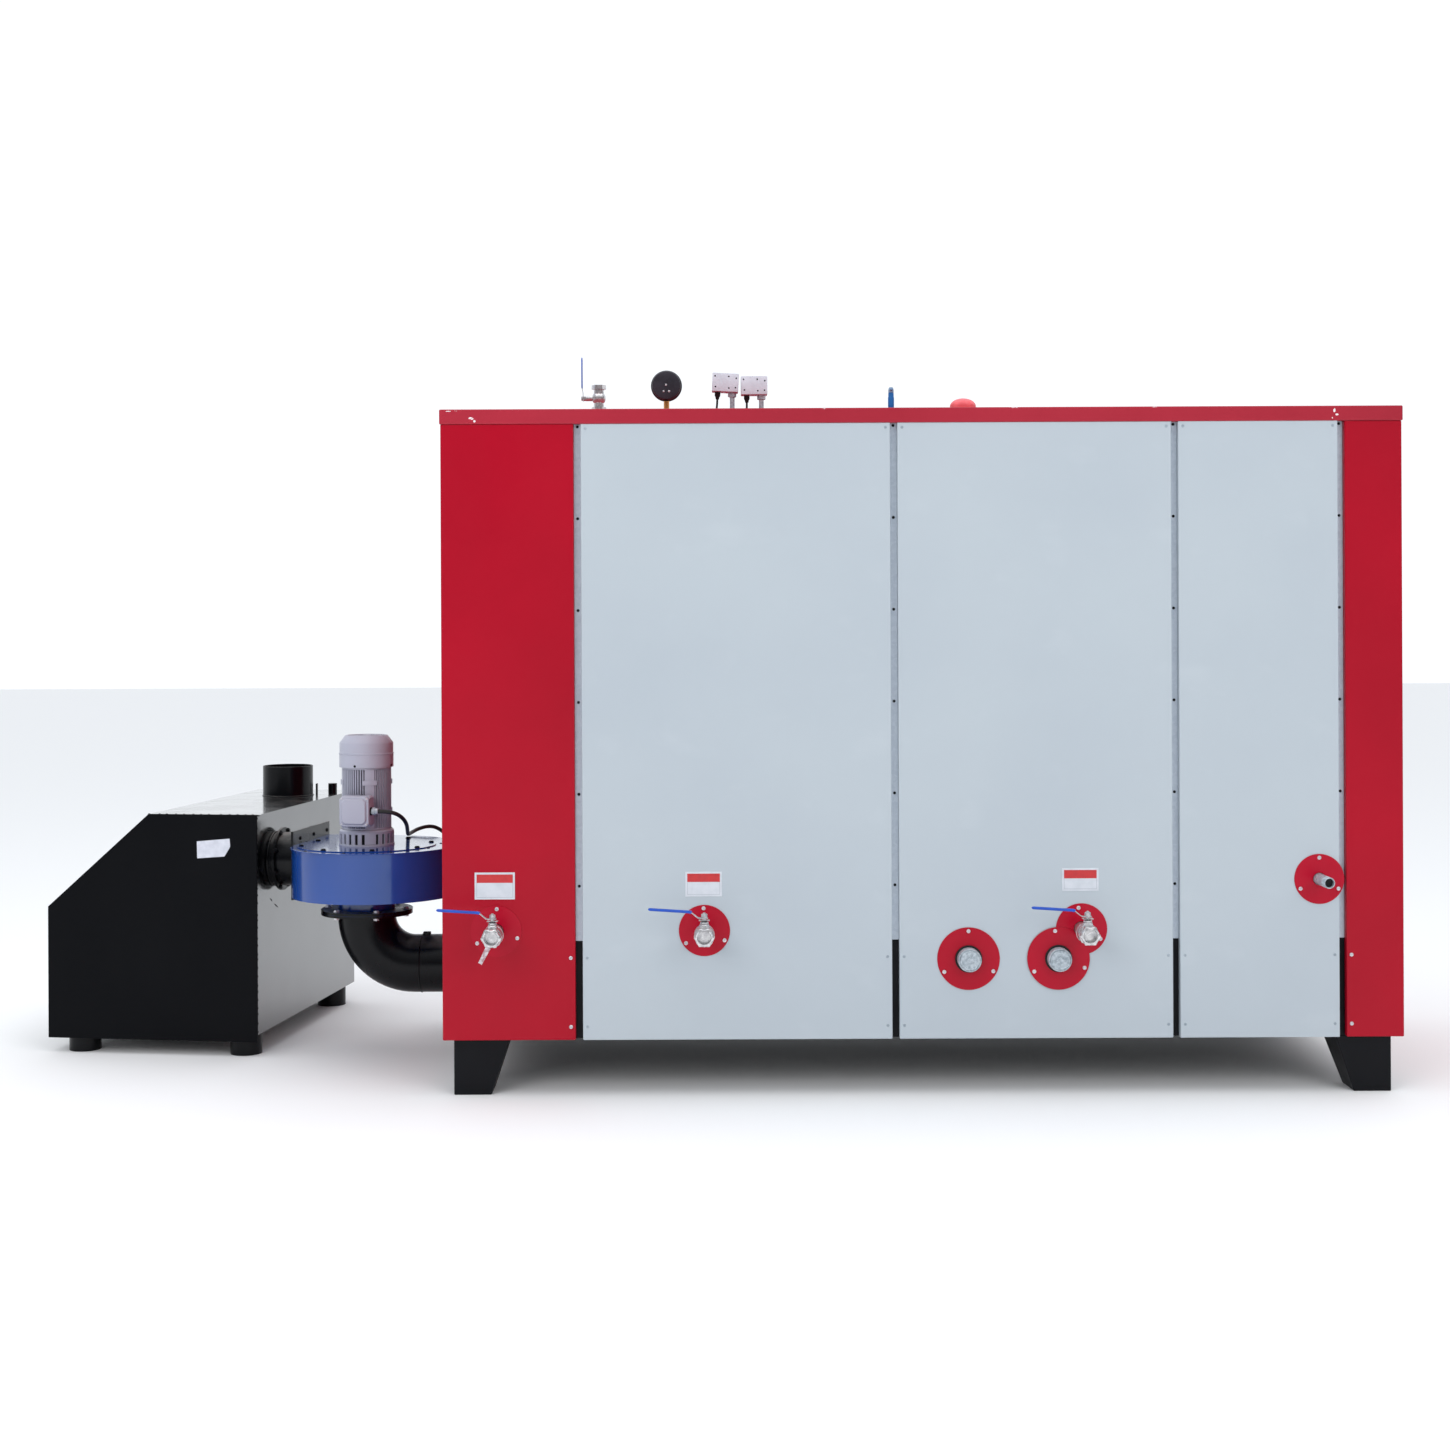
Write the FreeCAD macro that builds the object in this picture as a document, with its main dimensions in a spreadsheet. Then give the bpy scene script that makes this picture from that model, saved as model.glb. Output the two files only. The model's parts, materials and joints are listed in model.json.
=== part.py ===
import FreeCAD, Part
import math
import os
import re

import Sketcher
from FreeCAD import Placement, Rotation, Vector

# Industrial boiler: a long sheet-metal cabinet on four legs, with its pipe fittings,
# a scroll blower on a flue elbow at the left end and a sloped flue box beyond it.
# Millimetres, +Z up. The front (the side with the blowdown valves) looks along -Y.

document = FreeCAD.newDocument("Boiler")
sheet = document.addObject("Spreadsheet::Sheet", "Sizes")


# ---------------------------------------------------------------- driving dimensions

SIZES = {
    # Cabinet: overall size, the black lower core and the slots between the panels.
    "cabinet_len": 2890,
    "cabinet_wid": 1200,
    "cabinet_top": 2067,
    "leg_height": 170,
    "plinth_top": 465,
    "roof_height": 45,
    "roof_lip": 3,
    "panel_thick": 25,
    "slot_wid": 22,
    "corner_left": 400,
    "corner_right": 172,
    "grey_first": 930,
    "grey_second": 822,
    "strip_thick": 3,
    "strip_play": 0.5,
    # Legs: folded sheet, wide at the top.
    "leg_top_wid": 168,
    "leg_foot_wid": 113,
    "leg_inset": 30,
    # Pipes that come through the front panels, and their collars.
    "collar_thick": 2,
    "pipe_play": 2,
    "valve_left_off": 162,
    "valve_mid_off": 366,
    "valve_right_off": 547,
    "valve_z": 498,
    "valve_collar_rad": 77,
    "socket_left_off": 207,
    "socket_right_off": 477,
    "socket_z": 410,
    "socket_collar_rad": 94,
    "socket_rad": 35,
    "socket_bore_rad": 30,
    "socket_reach": 40,
    "plug_lug_wid": 22,
    "feed_off": 254,
    "feed_z": 645,
    "feed_rad": 16.9,
    "feed_bore_rad": 13.6,
    "feed_reach": 104,
    "feed_collar_rad": 75,
    # Blowdown ball valve (1 1/4 inch) and its lever.
    "nipple_rad": 21,
    "valve_reach": 150,
    "valve_length": 96,
    "valve_hex_wid": 54,
    "valve_hex_len": 20,
    "valve_bore_rad": 19,
    "valve_body_rad": 31,
    "bonnet_rad": 13,
    "bonnet_top": 50,
    "lever_gap": 0.3,
    "lever_thick": 3,
    "lever_wid": 18,
    "lever_rise": 18,
    "lever_reach": 160,
    "grip_len": 128,
    "grip_climb": 8,
    "grip_rad": 6.5,
    "lever_nut_rad": 8,
    "lever_nut_len": 9,
    # Roof fittings, on the centre line of the roof.
    "vent_x": -1000,
    "vent_top": 141,
    "vent_rad": 17,
    "vent_hex_wid": 42,
    "vent_stem_z": 98,
    "vent_stem_len": 50,
    "vent_lever_len": 136,
    "gauge_x": -777,
    "gauge_z": 139,
    "gauge_rad": 51.5,
    "gauge_depth": 34,
    "gauge_stem_rad": 8,
    "control_first_x": -584,
    "control_second_x": -488,
    "control_wid": 87,
    "control_depth": 60,
    "control_height": 61,
    "control_first_z": 116,
    "control_second_z": 106,
    "control_tilt": 3,
    "control_pipe_rad": 8,
    "control_pipe_off": 24,
    "control_gland_len": 22,
    "lead_rad": 3.5,
    "safety_x": -36,
    "safety_top": 131,
    "safety_rad": 10,
    "outlet_x": 201,
    "outlet_rad": 38,
    "outlet_height": 62,
    "cap_rad": 43,
    "cap_height": 93,
    # Blower: its axis stands off the left end; it and the flue box are turned a little.
    "flue_yaw": 8,
    "blower_gap": 317,
    "blower_back": -60,
    "elbow_rad": 93.5,
    "elbow_bend": 158,
    "elbow_z": 315,
    "inlet_neck": 46,
    "inlet_flange_rad": 148,
    "flange_thick": 8,
    "casing_bottom": 541,
    "casing_top": 701,
    "casing_step": 28,
    "casing_rad": 250,
    "top_thick": 4,
    "top_lip": 4,
    "disc_rad": 226,
    "disc_thick": 3,
    "outlet_side": 240,
    "outlet_flange_low": 20,
    "outlet_flange_high": 44,
    "outlet_flange_rim": 15,
    # Motor, standing on the blower.
    "motor_rad": 80,
    "motor_base_rad": 90,
    "motor_base_len": 53,
    "motor_len": 201,
    "cowl_rad": 87.5,
    "cowl_len": 80,
    "cowl_crown": 24,
    "cowl_crown_rad": 68,
    "terminal_wid": 98,
    "terminal_depth": 60,
    "terminal_z": 69,
    "gland_rad": 10,
    "gland_len": 25,
    "cable_rad": 6.5,
    # Flue box and the round pipe that feeds it.
    "flue_pipe_rad": 89,
    "flue_pipe_z": 635,
    "flue_pipe_back": 158,
    "flue_ring_rad": 105,
    "flue_ring_gap": 23,
    "box_side": 369,
    "box_front": -18,
    "box_len": 728,
    "box_depth": 1015,
    "box_top": 798,
    "box_bottom": 73,
    "box_shoulder": 486,
    "box_flat": 374,
    "front_plate_low": 49,
    "front_plate_thick": 6,
    "lid_thick": 6,
    "lid_lip": 8,
    "chimney_rad": 90,
    "chimney_wall": 4,
    "chimney_height": 109,
    "chimney_side": 165,
    "chimney_back": 760,
    "chimney_well": 300,
    "foot_rad": 52,
    "foot_right": 65,
    "foot_left": 98,
    "foot_end": 70,
    "stub_rad": 16,
    "stub_height": 38,
    "stub_side": 26,
    "stub_back": 850,
}

for row, (alias, number) in enumerate(SIZES.items(), start=1):
    sheet.set(f"A{row}", alias)
    sheet.set(f"B{row}", str(number))
    sheet.setAlias(f"B{row}", alias)
document.recompute()


def linked(formula):
    """The formula with each word that has an underscore made a cell of the sheet."""
    return re.sub(r"\b[a-z]+(_[a-z]+)+\b", r"Sizes.\g<0>", str(formula))


def value(formula):
    """The number that a formula of sheet cells gives now."""
    return float(sheet.evalExpression(linked(formula)))


# ------------------------------------------------------------------- building helpers

UPRIGHT = Rotation()
TO_FRONT = Rotation(Vector(1, 0, 0), 90)
TO_RIGHT = Rotation(Vector(0, 1, 0), 90)
TO_LEFT = Rotation(Vector(0, 1, 0), -90)


def put(piece, place, turn=UPRIGHT):
    """Turn a piece, and bind its place to the sheet."""
    piece.Placement = Placement(Vector(), turn)
    for axis, formula in zip("xyz", place):
        piece.setExpression(f"Placement.Base.{axis}", linked(formula))
    return piece


def primitive(kind, place, turn=UPRIGHT, **sizes):
    """A Part primitive with every size and its place bound to the sheet."""
    piece = document.addObject(kind, kind.split("::")[1])
    for name, formula in sizes.items():
        piece.setExpression(name, linked(formula))
    return put(piece, place, turn)


def block(place, length, width, height):
    """A box from its low corner."""
    return primitive("Part::Box", place, Length=length, Width=width, Height=height)


def rod(place, radius, length, turn=UPRIGHT, angle=360):
    """A cylinder that runs from its foot along +Z, or along the turned Z."""
    return primitive("Part::Cylinder", place, turn, Radius=radius, Height=length, Angle=angle)


def hexagon(place, across, length, turn=UPRIGHT):
    """A hexagonal prism, given its width across the flats."""
    piece = primitive("Part::Prism", place, turn,
                      Circumradius=f"({across}) / 2 / cos(30)", Height=length)
    piece.Polygon = 6
    return piece


def cone(place, low, high, length, turn=UPRIGHT):
    """A truncated cone."""
    return primitive("Part::Cone", place, turn, Radius1=low, Radius2=high, Height=length)


def joined(*pieces):
    """Pieces fused into one solid."""
    fuse = document.addObject("Part::MultiFuse", "Fuse")
    fuse.Shapes = list(pieces)
    fuse.Refine = True
    return fuse


def without(base, *tools):
    """A base with the tools cut out of it."""
    cut = document.addObject("Part::Cut", "Cut")
    cut.Base = base
    cut.Tool = tools[0] if len(tools) == 1 else joined(*tools)
    return cut


def plate(corners, depth, place, turn=TO_FRONT):
    """A PartDesign body: a closed outline, each corner bound to the sheet, padded."""
    body = document.addObject("PartDesign::Body", "Outline")
    sketch = body.newObject("Sketcher::SketchObject", "Corners")
    ground = [part for part in body.Origin.OriginFeatures if part.Role == "XY_Plane"][0]
    sketch.AttachmentSupport = [(ground, "")]
    sketch.MapMode = "FlatFace"
    points = [Vector(value(across), value(up), 0) for across, up in corners]
    for start, end in zip(points, points[1:] + points[:1]):
        sketch.addGeometry(Part.LineSegment(start, end), False)
    for line in range(len(points)):
        after = (line + 1) % len(points)
        sketch.addConstraint(Sketcher.Constraint("Coincident", line, 2, after, 1))
    for line, corner in enumerate(corners):
        for kind, formula, number in zip(("DistanceX", "DistanceY"), corner, points[line]):
            index = sketch.addConstraint(Sketcher.Constraint(kind, line, 1, number))
            sketch.setExpression(f"Constraints[{index}]", linked(formula))
    pad = body.newObject("PartDesign::Pad", "Pad")
    pad.Profile = sketch
    pad.setExpression("Length", linked(depth))
    return put(body, place, turn)


# ------------------------------------------------------------------- frames and nodes

# The plant's origin is the middle of its footprint, from the flue box's far corner to
# the cabinet's right end and from the valve outlets to the back of the flue box.
PLANT_LEFT = "blower_gap + cabinet_len / 2 + (box_side + box_len) * cos(flue_yaw)"
PLANT_RIGHT = "cabinet_len / 2 + roof_lip"
PLANT_FRONT = "cabinet_wid / 2 + valve_reach"
PLANT_BACK = ("blower_back + (box_front + box_depth) * cos(flue_yaw)"
              " + (box_side + box_len) * sin(flue_yaw)")
CABINET_X = f"(({PLANT_LEFT}) - ({PLANT_RIGHT})) / 2"
CABINET_Y = f"(({PLANT_FRONT}) - ({PLANT_BACK})) / 2"
BLOWER_X = f"{CABINET_X} - cabinet_len / 2 - blower_gap"
BLOWER_Y = f"{CABINET_Y} + blower_back"

nodes = {}


def node(label, *pieces):
    """A sub-part placed from the middle of the cabinet's footprint."""
    group = document.addObject("Part::Compound", "Group")
    group.Label = label
    group.Links = list(pieces)
    put(group, (CABINET_X, CABINET_Y, "0"))
    nodes[label] = group
    return group


def turned_node(label, *pieces):
    """A sub-part placed from the blower's axis, in the turned frame of the flue parts."""
    group = node(label, *pieces)
    group.setExpression("Placement.Base.x", linked(BLOWER_X))
    group.setExpression("Placement.Base.y", linked(BLOWER_Y))
    group.Placement = Placement(group.Placement.Base, Rotation(Vector(0, 0, -1), 8))
    group.setExpression("Placement.Rotation.Angle", linked("flue_yaw"))
    return group


# ------------------------------------------------------------ cabinet: core and panels

LEFT = "-cabinet_len / 2"
FRONT = "-cabinet_wid / 2"
PANEL_TOP = "cabinet_top - roof_height"
PANEL_HEIGHT = f"{PANEL_TOP} - leg_height"
CORE_LEN = "cabinet_len - 2 * panel_thick"
CORE_WID = "cabinet_wid - 2 * panel_thick"
CORE_LEFT = f"{LEFT} + panel_thick"
CORE_FRONT = f"{FRONT} + panel_thick"

# Left edge and length of each front panel, from the left end of the cabinet.
GREY_THIRD = ("cabinet_len - corner_left - corner_right - grey_first - grey_second"
              " - 4 * slot_wid")
PANELS = {
    "left_corner": ("0", "corner_left"),
    "grey_left": ("corner_left + slot_wid", "grey_first"),
    "grey_middle": ("corner_left + grey_first + 2 * slot_wid", "grey_second"),
    "grey_right": ("corner_left + grey_first + grey_second + 3 * slot_wid", GREY_THIRD),
    "right_corner": ("cabinet_len - corner_right", "corner_right"),
}
SLOTS = [f"{start} + {length}" for start, length in list(PANELS.values())[:4]]

# Where pipes come out of the front: their place, and the panel that each goes through.
# The places are measured from the panel's left edge, and the feed's from the right end.
GREY_LEFT = f"{LEFT} + corner_left + slot_wid"
GREY_MIDDLE = f"{GREY_LEFT} + grey_first + slot_wid"
VALVES = {
    "left": (f"{LEFT} + valve_left_off", "left_corner"),
    "middle": (f"{GREY_LEFT} + valve_mid_off", "grey_left"),
    "right": (f"{GREY_MIDDLE} + valve_right_off", "grey_middle"),
}
SOCKETS = [f"{GREY_MIDDLE} + socket_left_off", f"{GREY_MIDDLE} + socket_right_off"]
FEED_X = "cabinet_len / 2 - feed_off"


def front_hole(x, z, radius):
    """The hole in a front panel around a pipe, with its play."""
    return rod((x, f"{FRONT} + 2 * panel_thick", z), f"{radius} + pipe_play",
               "3 * panel_thick", TO_FRONT)


def core():
    """The furnace base in black, and the insulated boiler body above it."""
    node("furnace_base", block((CORE_LEFT, CORE_FRONT, "leg_height"), CORE_LEN, CORE_WID,
                               "plinth_top - leg_height"))
    node("boiler_body", block((CORE_LEFT, CORE_FRONT, "plinth_top"), CORE_LEN, CORE_WID,
                              f"{PANEL_TOP} - plinth_top"))


def roof():
    node("roof_cap", block((f"{LEFT} - roof_lip", f"{FRONT} - roof_lip", PANEL_TOP),
                           "cabinet_len + 2 * roof_lip", "cabinet_wid + 2 * roof_lip",
                           "roof_height"))


def panel(name, y):
    start, length = PANELS[name]
    return block((f"{LEFT} + {start}", y, "leg_height"), length, "panel_thick",
                 PANEL_HEIGHT)


def side_panels():
    """Five front panels, bored for their pipes, and the plain panels of the back."""
    holes = {name: [] for name in PANELS}
    for x, name in VALVES.values():
        holes[name].append(front_hole(x, "valve_z", "nipple_rad"))
    for x in SOCKETS:
        holes["grey_middle"].append(front_hole(x, "socket_z", "socket_rad"))
    holes["grey_right"].append(front_hole(FEED_X, "feed_z", "feed_rad"))
    for name in PANELS:
        front = panel(name, FRONT)
        node(f"front_panel_{name}", without(front, *holes[name]) if holes[name] else front)
    back = "cabinet_wid / 2 - panel_thick"
    node("back_panels_grey", *(panel(name, back) for name in PANELS if "grey" in name))
    node("back_panels_corner", *(panel(name, back) for name in PANELS if "corner" in name))


def end_panels():
    for name, x in (("left", LEFT), ("right", "cabinet_len / 2 - panel_thick")):
        node(f"end_panel_{name}", block((x, CORE_FRONT, "leg_height"), "panel_thick",
                                        CORE_WID, PANEL_HEIGHT))


def channel_strips():
    """The light strips at the back of the slots, on both sides, above the black base."""
    strips = []
    for slot in SLOTS:
        for y in (f"{CORE_FRONT} - strip_thick", "cabinet_wid / 2 - panel_thick"):
            strips.append(block((f"{LEFT} + {slot} + strip_play", y, "plinth_top"),
                                "slot_wid - 2 * strip_play", "strip_thick",
                                f"{PANEL_TOP} - plinth_top"))
    node("channel_strips", *strips)


def leg(side, end, turn):
    """A leg tapered on its two inner faces; its outer corner stands in from the cabinet."""
    piece = primitive("Part::Wedge",
                      (f"{side} * (cabinet_len / 2 - leg_inset)",
                       f"{end} * (cabinet_wid / 2 - leg_inset)", "0"),
                      Rotation(Vector(0, 0, 1), turn).multiply(TO_FRONT),
                      Xmin="0", Ymin="0", Zmin="0", X2min="0", Z2min="0",
                      Xmax="leg_foot_wid", Zmax="leg_foot_wid", Ymax="leg_height",
                      X2max="leg_top_wid", Z2max="leg_top_wid")
    return piece


def legs():
    node("front_legs", leg(-1, -1, 90), leg(1, -1, 180))
    node("back_legs", leg(-1, 1, 0), leg(1, 1, 270))


# ------------------------------------------------- pipes, collars and blowdown valves

def collar(x, z, radius, pipe, y=f"{FRONT} - collar_thick"):
    """A thin round plate around a pipe; y is its front face."""
    disc = rod((x, f"({y}) + collar_thick", z), radius, "collar_thick", TO_FRONT)
    hole = rod((x, f"({y}) + 2 * collar_thick", z), f"{pipe} + pipe_play",
               "3 * collar_thick", TO_FRONT)
    return without(disc, hole)


def collars():
    """The right-hand socket's collar lies over the right valve's, so it stands further out."""
    node("valve_collars", *(collar(x, "valve_z", "valve_collar_rad", "nipple_rad")
                            for x, name in VALVES.values()))
    over = f"{FRONT} - 2 * collar_thick"
    upper = collar(SOCKETS[1], "socket_z", "socket_collar_rad", "socket_rad", over)
    node("socket_collars",
         collar(SOCKETS[0], "socket_z", "socket_collar_rad", "socket_rad"),
         without(upper, front_hole(VALVES["right"][0], "valve_z", "nipple_rad")))
    node("feed_collar", collar(FEED_X, "feed_z", "feed_collar_rad", "feed_rad"))


def blowdown_valve(name, x):
    """Nipple, hexagon ends with an open outlet, round body, and bonnet on top."""
    outlet = f"{FRONT} - valve_reach"
    inlet = f"{outlet} + valve_length"
    middle = f"{outlet} + valve_length / 2"
    nipple = rod((x, CORE_FRONT, "valve_z"), "nipple_rad",
                 "panel_thick + valve_reach - valve_length / 2", TO_FRONT)
    ends = [hexagon((x, y, "valve_z"), "valve_hex_wid", "valve_hex_len", TO_FRONT)
            for y in (inlet, f"{outlet} + valve_hex_len")]
    neck = rod((x, inlet, "valve_z"), "valve_body_rad * 0.8", "valve_length - valve_hex_len / 2",
               TO_FRONT)
    ball = primitive("Part::Sphere", (x, middle, "valve_z"), Radius="valve_body_rad")
    bonnet = rod((x, middle, "valve_z"), "bonnet_rad", "bonnet_top - 8")
    packing = hexagon((x, middle, "valve_z"), "1.6 * bonnet_rad", "bonnet_top")
    bore = rod((x, f"{outlet} + valve_hex_len", "valve_z"), "valve_bore_rad",
               "2 * valve_hex_len", TO_FRONT)
    node(f"blowdown_valve_{name}",
         without(joined(nipple, *ends, neck, ball, bonnet, packing), bore))


def valve_lever(name, x):
    """A cranked strip over the valve's stem, its nut, and a round grip towards -X."""
    middle = f"{FRONT} - valve_reach + valve_length / 2"
    low = "valve_z + bonnet_top + lever_gap"
    crank = "2.2 * lever_wid"
    end = "lever_reach - 10"
    corners = [("0", "0"), ("lever_wid", "0"), (crank, "lever_rise"),
               (end, "lever_rise + grip_climb"),
               (end, "lever_rise + grip_climb + lever_thick"),
               (f"{crank} - 1", "lever_rise + lever_thick"),
               ("lever_wid - 1", "lever_thick"), ("0", "lever_thick")]
    strip = plate(corners, "lever_wid", (x, f"{middle} - lever_wid / 2", low),
                  Rotation(Vector(0, 0, 1), 180).multiply(TO_FRONT))
    eye = rod((x, middle, low), "0.7 * lever_wid", "lever_thick")
    nut = hexagon((x, middle, low), "2 * lever_nut_rad", "lever_nut_len")
    climb = math.degrees(math.atan2(value("grip_climb"), value("grip_len")))
    tip_z = f"{low} + lever_rise + grip_climb + lever_thick / 2"
    grip = rod((f"{x} - lever_reach", middle, tip_z), "grip_rad", "grip_len",
               Rotation(Vector(0, 1, 0), 90 + climb))
    tip = primitive("Part::Sphere", (f"{x} - lever_reach", middle, tip_z), Radius="grip_rad")
    node(f"valve_lever_{name}", joined(strip, eye, nut, grip, tip))


def washout_sockets():
    """Two threaded sockets, each closed by a plug with a square lug."""
    sockets = []
    plugs = []
    mouth = f"{FRONT} - socket_reach"
    for x in SOCKETS:
        shell = rod((x, CORE_FRONT, "socket_z"), "socket_rad", "panel_thick + socket_reach",
                    TO_FRONT)
        bore = rod((x, f"{mouth} + socket_reach / 2", "socket_z"), "socket_bore_rad",
                   "socket_reach", TO_FRONT)
        sockets.append(without(shell, bore))
        body = rod((x, f"{mouth} + socket_reach / 2", "socket_z"), "socket_bore_rad",
                   "socket_reach / 2 - 4", TO_FRONT)
        lug = block((f"{x} - plug_lug_wid / 2", f"{mouth} - 4", "socket_z - plug_lug_wid / 2"),
                    "plug_lug_wid", "socket_reach / 2", "plug_lug_wid")
        plugs.append(joined(body, lug))
    node("washout_sockets", *sockets)
    node("washout_plugs", *plugs)


def feed_pipe():
    pipe = rod((FEED_X, CORE_FRONT, "feed_z"), "feed_rad", "panel_thick + feed_reach",
               TO_FRONT)
    bore = rod((FEED_X, FRONT, "feed_z"), "feed_bore_rad", "2 * feed_reach", TO_FRONT)
    node("feed_pipe", without(pipe, bore))


# ----------------------------------------------------------------------- roof fittings

TOP = "cabinet_top"


def vent_valve():
    """An upright ball valve, open at the top, with its stem towards -X."""
    half = "(vent_top - vent_stem_z)"
    pipe = rod(("vent_x", "0", TOP), "vent_rad * 0.8", "vent_stem_z")
    low = hexagon(("vent_x", "0", f"{TOP} + vent_stem_z - {half}"), "vent_hex_wid", "14")
    high = hexagon(("vent_x", "0", f"{TOP} + vent_top - 14"), "vent_hex_wid", "14")
    ball = primitive("Part::Sphere", ("vent_x", "0", f"{TOP} + vent_stem_z"),
                     Radius="vent_rad * 1.35")
    neck = rod(("vent_x", "0", f"{TOP} + vent_stem_z - {half}"), "vent_rad",
               f"2 * {half}")
    bonnet = rod(("vent_x", "0", f"{TOP} + vent_stem_z"), "9", "vent_stem_len - 8", TO_LEFT)
    packing = hexagon(("vent_x", "0", f"{TOP} + vent_stem_z"), "15", "vent_stem_len",
                      TO_LEFT)
    bore = rod(("vent_x", "0", f"{TOP} + vent_top - 18"), "vent_rad * 0.75", "30")
    node("vent_valve", without(joined(pipe, low, high, ball, neck, bonnet, packing), bore))


def vent_lever():
    """The vent valve's lever, upright when the valve is open."""
    x = "vent_x - vent_stem_len - lever_gap"
    z = f"{TOP} + vent_stem_z"
    strip = block((f"{x} - lever_thick", "-0.4 * lever_wid", z), "lever_thick",
                  "0.8 * lever_wid", "vent_lever_len - 20")
    eye = rod((x, "0", z), "0.6 * lever_wid", "lever_thick", TO_LEFT)
    nut = hexagon((x, "0", z), "14", "8", TO_LEFT)
    grip = block((f"{x} - lever_thick - 1.5", "-0.5 * lever_wid", f"{z} + 35"),
                 "lever_thick + 3", "lever_wid", "vent_lever_len - 35")
    node("vent_lever", joined(strip, eye, nut, grip))


def pressure_gauge():
    """A gauge on a short pipe; its dial faces the back of the plant."""
    z = f"{TOP} + gauge_z"
    pipe = rod(("gauge_x", "0", TOP), "0.8 * gauge_stem_rad", "gauge_z")
    cock = hexagon(("gauge_x", "0", f"{TOP} + gauge_z - gauge_rad - 26"),
                   "2 * gauge_stem_rad", "28")
    node("gauge_stem", without(joined(pipe, cock),
                               rod(("gauge_x", "gauge_depth", z), "gauge_rad",
                                   "2 * gauge_depth", TO_FRONT)))
    case = rod(("gauge_x", "gauge_depth / 2", z), "gauge_rad", "gauge_depth", TO_FRONT)
    dial = rod(("gauge_x", "gauge_depth / 2 + 5", z), "gauge_rad - 4", "9", TO_FRONT)
    node("pressure_gauge", without(case, dial))


def pressure_control(name, x, z, tilt):
    """A box with its nut and cable gland, leaning by the tilt, on an upright pipe."""
    box = block(("-control_wid / 2", "-control_depth / 2", "0"), "control_wid",
                "control_depth", "control_height")
    nut = hexagon(("control_pipe_off", "0", "-16"), "3 * control_pipe_rad", "20")
    gland = cone(("-control_pipe_off", "0", "-control_gland_len"), "1.6 * lead_rad",
                 "3 * lead_rad", "control_gland_len")
    head = put(joined(box, nut, gland), (x, "0", f"{TOP} + {z}"),
               Rotation(Vector(0, 1, 0), tilt))
    pipe = rod((f"{x} + control_pipe_off", "0", TOP), "control_pipe_rad", f"{z} - 6")
    node(f"pressure_control_{name}", joined(head, pipe))


def safety_valve():
    """A slim valve with a collar, a cap and a short easing lever."""
    pipe = rod(("safety_x", "0", TOP), "0.7 * safety_rad", "safety_top - 20")
    nut = hexagon(("safety_x", "0", f"{TOP} + safety_top / 2 - 16"), "1.8 * safety_rad", "14")
    body = rod(("safety_x", "0", f"{TOP} + safety_top / 2"), "safety_rad",
               "safety_top / 2 - 18")
    cap = cone(("safety_x", "0", f"{TOP} + safety_top - 18"), "safety_rad",
               "0.6 * safety_rad", "18")
    lever = block(("safety_x - 4", "-2.5 * safety_rad", f"{TOP} + safety_top - 12"), "8",
                  "2.5 * safety_rad", "4")
    node("safety_valve", joined(pipe, nut, body, cap, lever))


def steam_outlet():
    """The outlet pipe, closed for transport by a domed cap pushed over its end."""
    pipe = rod(("outlet_x", "0", TOP), "outlet_rad", "outlet_height")
    bore = rod(("outlet_x", "0", f"{TOP} + outlet_height / 2"), "outlet_rad - 4",
               "outlet_height")
    node("steam_outlet", without(pipe, bore))
    dome = primitive("Part::Ellipsoid", ("outlet_x", "0", f"{TOP} + outlet_height + 4"),
                     Radius1="cap_height - outlet_height - 4", Radius2="cap_rad",
                     Radius3="cap_rad", Angle1="0", Angle2="90")
    wall = rod(("outlet_x", "0", f"{TOP} + outlet_height - 18"), "cap_rad", "22")
    hollow = rod(("outlet_x", "0", f"{TOP} + outlet_height - 20"), "outlet_rad", "20")
    node("outlet_cap", without(joined(dome, wall), hollow))


# ------------------------------------------------------- flue elbow, blower and motor

INLET_Z = "casing_bottom - inlet_neck - flange_thick"


def flue_elbow():
    """A round duct out of the cabinet's left end that bends up into the blower."""
    bend = primitive("Part::Torus", ("elbow_bend", "0", "elbow_z + elbow_bend"),
                     Rotation(Vector(-1, 0, 0), Vector(0, 0, -1), Vector(0, -1, 0), "XYZ"),
                     Radius1="elbow_bend", Radius2="elbow_rad", Angle3="90")
    level = rod(("elbow_bend", "0", "elbow_z"), "elbow_rad", "blower_gap - elbow_bend",
                TO_RIGHT)
    neck = rod(("0", "0", "elbow_z + elbow_bend"), "elbow_rad",
               f"{INLET_Z} - elbow_z - elbow_bend")
    flange = rod(("0", "0", f"{INLET_Z} - flange_thick"), "inlet_flange_rad",
                 "flange_thick")
    elbow = node("flue_elbow", joined(bend, level, neck, flange))
    elbow.setExpression("Placement.Base.x", linked(BLOWER_X))
    elbow.setExpression("Placement.Base.y", linked(BLOWER_Y))


def scroll(bottom, height, lip):
    """Three quarter rounds that step outwards, and the straight run to the outlet."""
    off = "casing_step / 2"
    quarters = ((off, f"-{off}", 0, 180), (off, off, 1, 270), (f"-{off}", off, 2, 0))
    pieces = [rod((across, along, bottom), f"casing_rad + {step} * casing_step + {lip}",
                  height, Rotation(Vector(0, 0, 1), start), 90)
              for across, along, step, start in quarters]
    pieces.append(block((f"-{off}", f"-{off}", bottom), "casing_step", "casing_step", height))
    pieces.append(block(("-outlet_side", f"-{off}", bottom), f"outlet_side - {off}",
                        f"casing_rad + 2 * casing_step + {lip} + casing_step", height))
    return joined(*pieces)


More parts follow.
